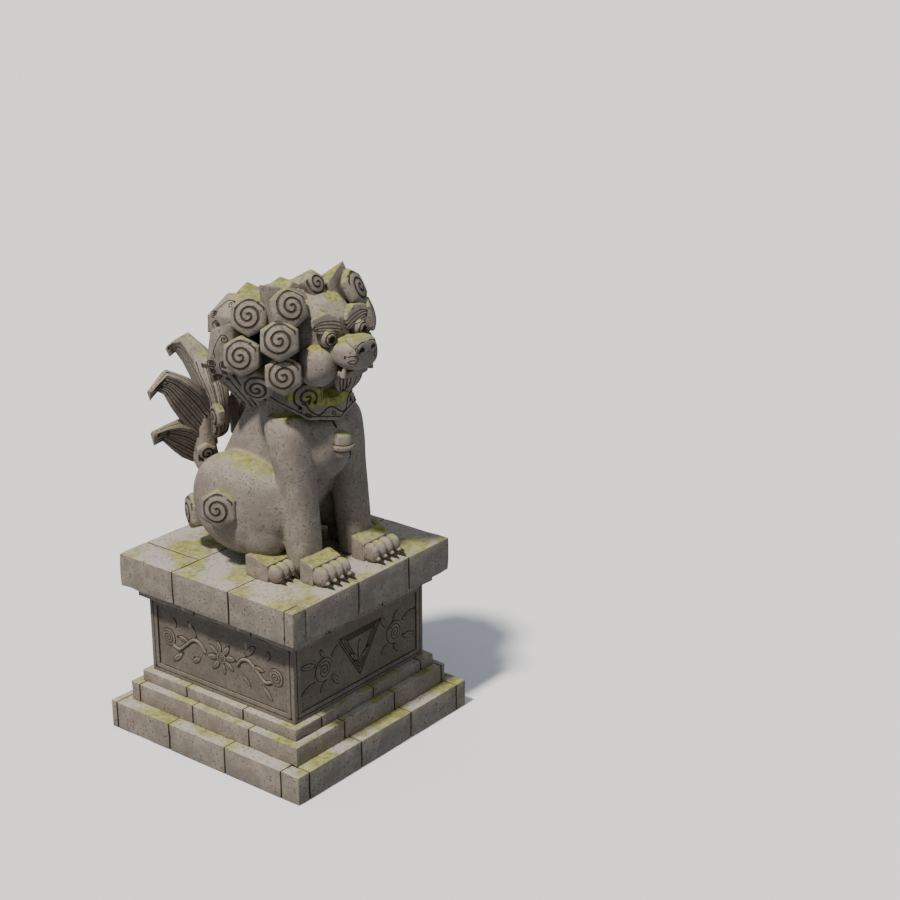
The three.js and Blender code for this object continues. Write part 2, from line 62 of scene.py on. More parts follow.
TAU = math.tau
MM = 0.001
WELD = 0.01  # mm, closer points are one point
X_AXIS = Vector((1, 0, 0))
Y_AXIS = Vector((0, 1, 0))
Z_AXIS = Vector((0, 0, 1))
BODY = "root"
CAP_TOP = 763.0  # mm, the figure stands on this level
COIL_STEPS = 27  # points in one turn of a carved spiral
CRISP = 38.0  # degrees, sharper edges of a carved piece stay crisp
# rays per point for the painted shade in closed-in hollows
PAINTED_SHADE_RAYS = 14


# Small mathematics
def smooth_step(value: float, low: float, high: float) -> float:
    """Rises smoothly from 0 at low to 1 at high.

    Args:
        value: The number to place between the limits.
        low: Where the rise starts.
        high: Where the rise ends.

    Returns:
        A share from 0 to 1.
    """
    share = min(1.0, max(0.0, (value - low) / (high - low)))
    return share * share * (3 - 2 * share)


def through(stations: Sequence[Sequence[float]], share: float) -> list[float]:
    """Reads a smooth curve through equally spaced stations.

    Args:
        stations: Rows of numbers, one row a station.
        share: Place along the row of stations, from 0 to 1.

    Returns:
        The numbers at that place.
    """
    last = len(stations) - 1
    at = min(max(share, 0.0), 1.0) * last
    i = min(int(at), last - 1)
    t = at - i
    rows = [stations[min(max(i + step, 0), last)] for step in (-1, 0, 1, 2)]
    result = []
    for a, b, c, d in zip(*rows):
        slope_b, slope_c = (c - a) / 2, (d - b) / 2
        result.append(
            (2 * t**3 - 3 * t**2 + 1) * b
            + (t**3 - 2 * t**2 + t) * slope_b
            + (-2 * t**3 + 3 * t**2) * c
            + (t**3 - t**2) * slope_c
        )
    return result


def along(stations: Sequence[Sequence[float]], share: float) -> list[float]:
    """Reads a straight-edged line through equally spaced stations.

    Args:
        stations: Rows of numbers, one row a station.
        share: Place along the row of stations, from 0 to 1.

    Returns:
        The numbers at that place.
    """
    last = len(stations) - 1
    at = min(max(share, 0.0), 1.0) * last
    i = min(int(at), last - 1)
    return [a + (b - a) * (at - i) for a, b in zip(stations[i], stations[i + 1])]


def outline(angle: float, half_a: float, half_b: float, power: float) -> tuple[float, float]:
    """Gives a point of a rounded square.

    Args:
        angle: Where on the outline, in radians.
        half_a: Half of the first width.
        half_b: Half of the second width.
        power: 2 is an ellipse, more is boxier, less is more pointed.

    Returns:
        The two coordinates.
    """
    c, s = math.cos(angle), math.sin(angle)
    u = half_a * math.copysign(abs(c) ** (2 / power), c)
    v = half_b * math.copysign(abs(s) ** (2 / power), s)
    return u, v


def facing(at: Vector, normal: Vector) -> Matrix:
    """Builds the frame of a face: its third axis looks out, its second rises.

    Args:
        at: Middle of the face.
        normal: The way it faces.

    Returns:
        The frame as a matrix.
    """
    w = normal.normalized()
    u = Vector((-w.y, w.x, 0))
    u = X_AXIS.copy() if u.length < 1e-6 else u.normalized()
    v = w.cross(u)
    matrix = Matrix((u, v, w)).transposed().to_4x4()
    matrix.translation = at
    return matrix


def spiral(start: float, end: float, turns: float, hand: int = -1, lead: float = 0.0) -> list[Vector]:
    """Winds a flat spiral from its middle outwards, with a small hook in the middle.

    Args:
        start: Radius where it starts.
        end: Radius where it ends.
        turns: How often it goes round.
        hand: 1 winds against the clock, -1 with it.
        lead: Angle of its start, in radians.

    Returns:
        The points, in the plane z = 0.
    """
    count = max(12, int(turns * COIL_STEPS))
    path = []
    for i in range(count + 1):
        share = i / count
        radius = start + (end - start) * share**1.05
        angle = lead + hand * turns * TAU * share
        path.append(Vector((radius * math.cos(angle), radius * math.sin(angle), 0)))
    return path


def circle(radius: float, steps: int, height: float = 0.0) -> list[Vector]:
    """Draws a closed circle round the third axis.

    Args:
        radius: Its radius.
        steps: How many steps it has.
        height: Its height.

    Returns:
        The points, the first one again at the end.
    """
    turns = [TAU * i / steps for i in range(steps + 1)]
    return [Vector((radius * math.cos(turn), radius * math.sin(turn), height)) for turn in turns]


def evenly(points: Sequence[Sequence[float]], step: float) -> list[Vector]:
    """Runs a smooth curve through points and divides it.

    Args:
        points: The points to pass.
        step: Distance between the divisions, about.

    Returns:
        The divisions.
    """
    length = sum((Vector(b) - Vector(a)).length for a, b in zip(points, points[1:]))
    count = max(4, int(length / step))
    return [Vector(through(points, i / count)) for i in range(count + 1)]


# Solids
def bent(place: Place, along: int, around: int) -> BMesh:
    """Bends a grid into a closed solid, in millimetres.

    Args:
        place: Where a point goes, from its shares along and around.
        along: Divisions along the solid.
        around: Divisions around it.

    Returns:
        The solid, with its seam and ends closed.
    """
    bm = bmesh.new()
    bmesh.ops.create_grid(bm, x_segments=along, y_segments=around, size=0.5)
    for vert in bm.verts:
        vert.co = place(vert.co.x + 0.5, vert.co.y + 0.5)
    bmesh.ops.remove_doubles(bm, verts=bm.verts, dist=WELD)
    rim = [edge for edge in bm.edges if edge.is_boundary]
    if rim:
        bmesh.ops.holes_fill(bm, edges=rim, sides=0)
    bmesh.ops.recalc_face_normals(bm, faces=bm.faces)
    return bm


def over_rings(
    rings: Sequence[Ring], across: Vector, up: Vector, power: float = 2.2, straight: bool = False
) -> Place:
    """Gives the skin over rings that lie in the plane of two axes.

    Args:
        rings: Middle x, y, z and the two half widths of each ring.
        across: First axis of the rings.
        up: Second axis of the rings.
        power: How boxy the rings are.
        straight: Whether the skin runs straight from ring to ring.

    Returns:
        The skin as a function of shares.
    """

    def place(u: float, v: float) -> Vector:
        x, y, z, half_a, half_b = (along if straight else through)(rings, u)
        p, q = outline(TAU * v, half_a, half_b, power)
        return Vector((x, y, z)) + across * p + up * q

    return place


def ball(at: Sequence[float], size: Sequence[float], power: float = 2.0) -> Place:
    """Gives the skin of an ellipsoid, boxier with a larger power.

    Args:
        at: Its middle.
        size: Its three half sizes.
        power: 2 is an ellipsoid.

    Returns:
        The skin as a function of shares.
    """

    def place(u: float, v: float) -> Vector:
        rise, radius = outline(math.pi * (0.5 - u) + math.pi / 2, 1, 1, power)
        p, q = outline(TAU * v, max(radius, 0), max(radius, 0), power)
        return Vector((at[0] + size[0] * p, at[1] + size[1] * q, at[2] - size[2] * rise))

    return place


def tube(path: Sequence[Vector], radius: Callable[[float], float], sides: int = 7) -> BMesh:
    """Sweeps a round section along a path, pointed at both ends.

    Args:
        path: The points of its middle line.
        radius: Radius by the share along the path.
        sides: Sides of the section.

    Returns:
        The solid.
    """
    last = len(path) - 1
    frames: list[tuple[Vector, Vector]] = []
    normal = Vector((0.31, 0.52, 0.79))
    for i in range(last + 1):
        forward = (path[min(i + 1, last)] - path[max(i - 1, 0)]).normalized()
        normal = (normal - forward * normal.dot(forward)).normalized()
        frames.append((normal.copy(), forward.cross(normal)))

    def place(u: float, v: float) -> Vector:
        i = round(u * last)
        r = 0.0 if i in (0, last) else radius(u)
        n, b = frames[i]
        return path[i] + n * (r * math.cos(TAU * v)) + b * (r * math.sin(TAU * v))

    return bent(place, last, sides)


def mirrored_ring(half: Sequence[Point]) -> list[Vector]:
    """Closes a ring of corners that is given on one side of the middle plane.

    Args:
        half: Its corners from the middle of one end to the middle of the other.

    Returns:
        All its corners.
    """
    near = [Vector(corner) for corner in half]
    far = [Vector((-corner.x, corner.y, corner.z)) for corner in reversed(near) if abs(corner.x) > WELD]
    return near + far


def stacked(rows: Sequence[Sequence[Vector]]) -> Place:
    """Gives the flat-faced skin over rows of corners.

    Args:
        rows: Rings of corners, all of the same number.

    Returns:
        The skin as a function of shares.
    """

    def corner(row: Sequence[Vector], share: float) -> Vector:
        at = (share % 1.0) * len(row)
        i = int(at + 1e-9) % len(row)
        return row[i].lerp(row[(i + 1) % len(row)], at - int(at + 1e-9))

    def place(u: float, v: float) -> Vector:
        at = u * (len(rows) - 1)
        i = min(int(at + 1e-9), len(rows) - 2)
        return corner(rows[i], v).lerp(corner(rows[i + 1], v), at - i)

    return place


def divide(bm: BMesh, cell: float) -> None:
    """Cuts the faces of a solid into cells, along all three axes.

    Args:
        bm: The solid.
        cell: Size of the cells.
    """
    for axis in range(3):
        spots = [vert.co[axis] for vert in bm.verts]
        low, high = min(spots), max(spots)
        count = max(2, round((high - low) / cell))
        normal = Vector([1.0 if i == axis else 0.0 for i in range(3)])
        for i in range(1, count):
            at = normal * (low + (high - low) * i / count)
            geom = bm.verts[:] + bm.edges[:] + bm.faces[:]
            bmesh.ops.bisect_plane(bm, geom=geom, dist=cell * 1e-3, plane_co=at, plane_no=normal)


def soften(bm: BMesh, arris: float, bend: float = 24.0) -> BMesh:
    """Rounds the sharp edges of a solid a little.

    Args:
        bm: The solid.
        arris: Width of the rounding.
        bend: Angle from which an edge counts as sharp, in degrees.

    Returns:
        The same solid.
    """
    sharp = [edge for edge in bm.edges if edge.is_manifold and edge.calc_face_angle() > math.radians(bend)]
    bmesh.ops.bevel(
        bm, geom=sharp, offset=arris, segments=2, profile=0.5, affect="EDGES", material=-1, clamp_overlap=True
    )
    return bm


def hewn(points: Sequence[Point], whole: bool = False, arris: float = 4.0, cell: float = 21.0) -> BMesh:
    """Wraps flat faces round corners, as a mason hews a block.

    Args:
        points: The corners on one side of the middle plane.
        whole: Whether one block spans both sides, or each side has its own.
        arris: Width of the rounding along its edges.
        cell: Size of the cells that its faces are cut into.

    Returns:
        The block or blocks.
    """
    bm = bmesh.new()
    for point in points:
        bm.verts.new(point)
        if whole and abs(point[0]) > WELD:
            bm.verts.new((-point[0], point[1], point[2]))
    wrapped = bmesh.ops.convex_hull(bm, input=bm.verts[:])
    inner = {item for key in ("geom_interior", "geom_unused") for item in wrapped[key]}
    inner = [item for item in inner if isinstance(item, bmesh.types.BMVert) and item.is_valid]
    bmesh.ops.delete(bm, geom=inner, context="VERTS")
    bmesh.ops.dissolve_limit(bm, angle_limit=math.radians(4), verts=bm.verts, edges=bm.edges)
    soften(bm, arris, 12.0)
    divide(bm, cell)
    bmesh.ops.recalc_face_normals(bm, faces=bm.faces)
    return bm if whole else both_sides(bm)


def both_sides(bm: BMesh) -> BMesh:
    """Adds the same solid on the other side of the middle plane.

    Args:
        bm: A solid that stays on one side.

    Returns:
        The same mesh, with two solids.
    """
    made = bmesh.ops.duplicate(bm, geom=bm.verts[:] + bm.edges[:] + bm.faces[:])
    verts = [item for item in made["geom"] if isinstance(item, bmesh.types.BMVert)]
    bmesh.ops.transform(bm, matrix=Matrix.Scale(-1, 4, X_AXIS), verts=verts)
    bmesh.ops.recalc_face_normals(bm, faces=bm.faces)
    return bm


def joined(parts: Iterable[BMesh]) -> BMesh:
    """Puts several solids in one mesh, without cutting them.

    Args:
        parts: The solids, which are used up.

    Returns:
        One mesh with them all.
    """
    total = bmesh.new()
    for part in parts:
        loose = as_mesh(part)
        total.from_mesh(loose)
        bpy.data.meshes.remove(loose)
    return total


def as_bmesh(mesh: bpy.types.Mesh) -> BMesh:
    """Turns a plain mesh into a worked one.

    Args:
        mesh: The plain mesh, which is used up.

    Returns:
        The worked mesh.
    """
    bm = bmesh.new()
    bm.from_mesh(mesh)
    bpy.data.meshes.remove(mesh)
    return bm


def as_mesh(bm: BMesh, name: str = "solid") -> bpy.types.Mesh:
    """Turns a worked mesh into a plain one.

    Args:
        bm: The worked mesh, which is used up.
        name: Name of the plain mesh.

    Returns:
        The plain mesh.
    """
    mesh = bpy.data.meshes.new(name)
    bm.to_mesh(mesh)
    bm.free()
    return mesh


class Joining(Enum):
    """How one solid meets another."""

    ADD = "UNION"
    CUT = "DIFFERENCE"


class Bench:
    """The place where plain meshes are added, cut and smoothed."""

    @staticmethod
    def put(mesh: bpy.types.Mesh) -> bpy.types.Object:
        """Lays a mesh on the bench.

        Args:
            mesh: The mesh to work on.

        Returns:
            The object that holds it.
        """
        holder = bpy.data.objects.new("on_bench", mesh)
        bpy.context.scene.collection.objects.link(holder)
        return holder

    @staticmethod
    def take(holder: bpy.types.Object) -> bpy.types.Mesh:
        """Applies what was set up on an object and clears the bench.

        Args:
            holder: The object on the bench.

        Returns:
            The finished mesh.
        """
        bpy.context.view_layer.update()
        depsgraph = bpy.context.evaluated_depsgraph_get()
        mesh = bpy.data.meshes.new_from_object(holder.evaluated_get(depsgraph))
        Bench.clear(holder)
        return mesh

    @staticmethod
    def clear(holder: bpy.types.Object) -> None:
        """Takes an object and its mesh away.

        Args:
            holder: The object on the bench.
        """
        mesh = holder.data
        bpy.data.objects.remove(holder)
        bpy.data.meshes.remove(mesh)

    @staticmethod
    def combine(mesh: bpy.types.Mesh, other: BMesh, joining: Joining) -> bpy.types.Mesh:
        """Adds a solid to a mesh, or cuts it out of it.

        Args:
            mesh: The main mesh.
            other: The solid, which is used up.
            joining: Whether it is added or cut out.

        Returns:
            The new main mesh.
        """
        holder = Bench.put(mesh)
        tool = Bench.put(as_mesh(other))
        step = holder.modifiers.new("join", "BOOLEAN")
        step.operation = joining.value
        step.solver = "MANIFOLD"
        step.object = tool
        result = Bench.take(holder)
        Bench.clear(tool)
        return result

    @staticmethod
    def clean(mesh: bpy.types.Mesh) -> None:
        """Takes out the flat fins that a cut can leave where two tools touch.

        Args:
            mesh: The mesh.
        """
        mesh.validate()
        bm = bmesh.new()
        bm.from_mesh(mesh)
        fins = [face for face in bm.faces if all(len(edge.link_faces) > 2 for edge in face.edges)]
        bmesh.ops.delete(bm, geom=fins, context="FACES_ONLY")
        bm.to_mesh(mesh)
        bm.free()

    @staticmethod
    def fuse(mesh: bpy.types.Mesh, grain: float, passes: int, share: float) -> bpy.types.Mesh:
        """Melts overlapping solids into one smooth skin.

        Args:
            mesh: The solids together.
            grain: Size of the skin's cells, in millimetres.
            passes: How often the skin is smoothed.
            share: The share of its faces that is kept.

        Returns:
            The one skin.
        """
        holder = Bench.put(mesh)
        melt = holder.modifiers.new("melt", "REMESH")
        melt.mode = "VOXEL"
        melt.voxel_size = grain
        soft = holder.modifiers.new("soft", "SMOOTH")
        soft.factor = 0.5
        soft.iterations = passes
        thin = holder.modifiers.new("thin", "DECIMATE")
        thin.ratio = share
        return Bench.take(holder)


@dataclass
class Groove:
    """One carved line: its middle line on the surface, and its half width, in millimetres."""

    path: list[Vector]
    radius: float
    broad: float = 3.0  # mm, a broader line gets a rounder tool

    def width(self, share: float) -> float:
        """Gives the half width at a share of the line, narrow at its ends."""
        return self.radius * min(1.0, 0.3 + 14 * min(share, 1 - share))

    def cutter(self) -> BMesh:
        """Makes the round tool that cuts this line."""
        return tube(self.path, self.width, 6 if self.radius > self.broad else 5)

    def other_side(self) -> "Groove":
        """Gives the same line on the other side of the middle plane."""
        return Groove([Vector((-p.x, p.y, p.z)) for p in self.path], self.radius)


@dataclass
class DarkSpot:
    """A place that is painted dark all over: painted shade in a pupil or nostril hole, or a dark claw."""

    at: Vector
    radius: float


@dataclass
class Carver:
    """Collects carved lines and dark spots, cuts the lines, and marks them on the mesh."""

    grooves: list[Groove] = field(default_factory=list)
    dark_spots: list[DarkSpot] = field(default_factory=list)
    holes: list[BMesh] = field(default_factory=list)
    loose: list[tuple[list[Vector], Vector, float]] = field(default_factory=list)
    halo: float = 6.0  # mm beyond the line where the painted shade beside it fades out
    step: float = 2.5  # mm between the points that a line is measured by
    stand_off: float = 60.0  # mm that a loose line is drawn back before it is laid
    gap: float = 30.0  # mm, a line ends where the surface falls away by more
    lighter_rim: float = 0.35  # share of the darkening that is gone at the rim of a line
    beside_most: float = 0.34
    beside_rate: float = 0.068  # painted shade beside a line for each mm of its half width

    def hole(self, solid: BMesh, mirror: bool = False) -> None:
        """Keeps a solid to cut out.

        Args:
            solid: The solid.
            mirror: Whether it has a twin on the other side.
        """
        self.holes.append(both_sides(solid) if mirror else solid)

    def add(self, *grooves: Groove, mirror: bool = False) -> None:
        """Keeps lines to cut.

        Args:
            grooves: The lines.
            mirror: Whether each has a twin on the other side.
        """
        for groove in grooves:
            self.grooves.append(groove)
            if mirror:
                self.grooves.append(groove.other_side())

    def lay(self, path: list[Vector], toward: Vector, radius: float, mirror: bool = False) -> None:
        """Keeps a line that still has to be laid on the surface.

        Args:
            path: Its points, near the surface or before it.
            toward: The way to the surface.
            radius: Half width of the line.
            mirror: Whether it has a twin on the other side.
        """
        self.loose.append((path, toward.normalized(), radius))
        if mirror:
            twin = [Vector((-p.x, p.y, p.z)) for p in path]
            self.loose.append((twin, Vector((-toward.x, toward.y, toward.z)).normalized(), radius))

    def settle(self, mesh: bpy.types.Mesh, reach: float = 260.0) -> None:
        """Lays the loose lines on the surface of a mesh.

        Args:
            mesh: The mesh.
            reach: How far before the surface a line may lie.
        """
        tree = BVHTree.FromPolygons([v.co for v in mesh.vertices], [p.vertices for p in mesh.polygons])
        for path, toward, radius in self.loose:
            laid: list[Vector] = []
            for point in path:
                hit = tree.ray_cast(point - toward * self.stand_off, toward, reach)[0]
                if hit is None or (laid and (hit - laid[-1]).length > self.gap):
                    if laid:
                        break
                    continue
                laid.append(hit)
            if len(laid) > 3:
                self.grooves.append(Groove(laid, radius))

    def dark_spot(self, at: Vector, radius: float, mirror: bool = False) -> None:
        """Keeps a dark place.

        Args:
            at: Its middle.
            radius: Its radius.
            mirror: Whether it has a twin on the other side.
        """
        self.dark_spots.append(DarkSpot(at, radius))
        if mirror:
            self.dark_spots.append(DarkSpot(Vector((-at.x, at.y, at.z)), radius))

    def cut(self, mesh: bpy.types.Mesh) -> bpy.types.Mesh:
        """Cuts all lines at once, and then the holes.

        Args:
            mesh: The mesh to carve.

        Returns:
            The carved mesh.
        """
        mesh = Bench.combine(mesh, joined(g.cutter() for g in self.grooves), Joining.CUT)
        for solid in self.holes:
            mesh = Bench.combine(mesh, solid, Joining.CUT)
        Bench.clean(mesh)
        return mesh

    def mark(self, mesh: bpy.types.Mesh) -> None:
        """Writes how dark each face corner is: deep in a line (dirt and painted shade), beside one (painted
        shade), or in a dark spot.

        Args:
            mesh: The carved mesh.
        """
        spots: list[tuple[Vector, float]] = []
        for groove in self.grooves:
            for a, b in zip(groove.path, groove.path[1:]):
                count = max(1, math.ceil((b - a).length / self.step))
                spots += [(a.lerp(b, i / count), groove.radius) for i in range(count)]
        tree = KDTree(max(len(spots), 1))
        for index, (point, _) in enumerate(spots):
            tree.insert(point, index)
        tree.balance()
        inner, outer = [], []
        for vert in mesh.vertices:
            _, index, distance = tree.find(vert.co)
            radius = spots[index][1]
            inner.append(1 - self.lighter_rim * smooth_step(distance, radius * 0.3, radius * 1.1))
            beside = min(self.beside_most, self.beside_rate * radius)
            beside *= 1 - smooth_step(distance, radius, radius + self.halo)
            for dark_spot in self.dark_spots:
                away = (vert.co - dark_spot.at).length
                beside = max(beside, 1 - smooth_step(away, dark_spot.radius * 0.9, dark_spot.radius * 1.15))
            outer.append(beside)
        values = [0.0] * len(mesh.loops)
        for polygon in mesh.polygons:
            _, index, distance = tree.find(polygon.center)
            deep = distance < spots[index][1] * 1.02
            for loop in polygon.loop_indices:
                vertex = mesh.loops[loop].vertex_index
                values[loop] = max(inner[vertex], outer[vertex]) if deep else outer[vertex]
        mesh.attributes.new("groove", "FLOAT", "CORNER").data.foreach_set("value", values)


@dataclass(frozen=True)
class MossPatch:
    """A place where moss has spread over everything, on both sides of the figure."""

    at: Point
    radius: float
    strength: float = 1.0

    def share(self, at: Vector) -> float:
        """Tells how thick the moss is at a point of the figure's right side."""
        return self.strength * smooth_step((at - Vector(self.at)).length, self.radius, self.radius * 0.45)


def mark_moss(mesh: bpy.types.Mesh, patches: Sequence[MossPatch]) -> None:
    """Writes where moss has spread over a mesh.

    Args:
        mesh: The mesh, in millimetres.
        patches: The mossy places.
    """
    values = []
    for vert in mesh.vertices:
        at = Vector((-abs(vert.co.x), vert.co.y, vert.co.z))
        values.append(max(patch.share(at) for patch in patches))
    mesh.attributes.new("overgrown", "FLOAT", "POINT").data.foreach_set("value", values)


def mark_painted_shade(mesh: bpy.types.Mesh, reach: float, rays: int) -> None:
    """Writes how closed in each point of a mesh is, for the painted shade that darkens its hollows.

    Args:
        mesh: The finished mesh.
        reach: How far a neighbour counts.
        rays: How many directions are tried.
    """
    tree = BVHTree.FromPolygons(
        [v.co for v in mesh.vertices], [p.vertices for p in mesh.polygons], epsilon=0.0
    )
    golden = math.pi * (3 - math.sqrt(5))
    fan = []
    for i in range(rays):
        rise = math.sqrt(1 - (i + 0.5) / rays)
        flat = math.sqrt(max(0.0, 1 - rise * rise))
        fan.append(Vector((flat * math.cos(golden * i), flat * math.sin(golden * i), rise)))
    values = []
    for vert in mesh.vertices:
        turn = facing(Vector(), vert.normal).to_3x3()
        start = vert.co + vert.normal * (reach * 0.01)
        closed = 0.0
        for ray in fan:
            hit = tree.ray_cast(start, turn @ ray, reach)
            if hit[0] is not None:
                closed += 1 - 0.6 * hit[3] / reach
        values.append(closed / rays)
    mesh.attributes.new("painted_shade", "FLOAT", "POINT").data.foreach_set("value", values)


# Finishes
class Board:
    """The node tree of one finish, with short ways to add the nodes that stone needs."""

    def __init__(self, name: str) -> None:
        """Starts a material with nothing but its output.

        Args:
            name: Name of the material.
        """
        self.material = bpy.data.materials.new(name)
        self.material.use_nodes = True
        self.tree = self.material.node_tree
        self.tree.nodes.clear()
        self.place = self.node("ShaderNodeTexCoord").outputs["Object"]

    def node(self, kind: str, **settings: object) -> bpy.types.Node:
        """Adds a node.

        Args:
            kind: The node's type.
            settings: Properties to set on it.

        Returns:
            The node.
        """
        made = self.tree.nodes.new(kind)
        for key, value in settings.items():
            setattr(made, key, value)
        return made

    def feed(self, socket: bpy.types.NodeSocket, value: object) -> None:
        """Links an output to an input, or sets the input's number.

        Args:
            socket: The input.
            value: An output, a number or a colour.
        """
        if isinstance(value, bpy.types.NodeSocket):
            self.tree.links.new(value, socket)
        elif isinstance(value, tuple) and socket.type == "RGBA":
            socket.default_value = (*value, 1.0)
        else:
            socket.default_value = value

    def noise(self, scale: float, detail: float = 4.0, rough: float = 0.55) -> bpy.types.NodeSocket:
        """Adds a noise pattern on the piece.

        Args:
            scale: Cells in a metre.
            detail: Layers of finer noise.
            rough: Strength of the finer layers.

        Returns:
            The pattern.
        """
        made = self.node("ShaderNodeTexNoise")
        self.feed(made.inputs["Vector"], self.place)
        made.inputs["Scale"].default_value = scale
        made.inputs["Detail"].default_value = detail
        made.inputs["Roughness"].default_value = rough
        return made.outputs["Fac"]

    def rise(self) -> bpy.types.NodeSocket:
        """Gives how far the surface looks up: 1 faces the sky, 0 is upright.

        Returns:
            The value.
        """
        way = self.node("ShaderNodeSeparateXYZ")
        self.feed(way.inputs[0], self.node("ShaderNodeNewGeometry").outputs["Normal"])
        return way.outputs["Z"]

    def carried(self, name: str) -> bpy.types.NodeSocket:
        """Reads a value that the mesh carries.

        Args:
            name: Name of the mesh's attribute.

        Returns:
            The value.
        """
        return self.node("ShaderNodeAttribute", attribute_name=name).outputs["Fac"]

    def span(
        self, value: object, low: float, high: float, start: float = 0.0, end: float = 1.0
    ) -> bpy.types.NodeSocket:
        """Maps a span of values onto another, smoothly and clamped.

        Args:
            value: What is mapped.
            low: Value that gives start.
            high: Value that gives end.
            start: Result at low.
            end: Result at high.

        Returns:
            The result.
        """
        made = self.node("ShaderNodeMapRange", interpolation_type="SMOOTHSTEP")
        for socket, number in zip(made.inputs[:5], (value, low, high, start, end)):
            self.feed(socket, number)
        return made.outputs["Result"]

    def math(self, operation: str, first: object, second: object = 0.0) -> bpy.types.NodeSocket:
        """Adds a sum of two values.

        Args:
            operation: Which sum.
            first: First value.
            second: Second value.

        Returns:
            The result, kept from 0 to 1.
        """
        made = self.node("ShaderNodeMath", operation=operation, use_clamp=True)
        self.feed(made.inputs[0], first)
        self.feed(made.inputs[1], second)
        return made.outputs[0]

    def blend(
        self, share: object, first: object, second: object, way: str = "MIX"
    ) -> bpy.types.NodeSocket:
        """Mixes two colours.

        Args:
            share: How much of the second.
            first: First colour.
            second: Second colour.
            way: How they are mixed.

        Returns:
            The colour.
        """
        made = self.node("ShaderNodeMix", data_type="RGBA", blend_type=way)
        self.feed(made.inputs["Factor"], share)
        self.feed(made.inputs[6], first)
        self.feed(made.inputs[7], second)
        return made.outputs[2]


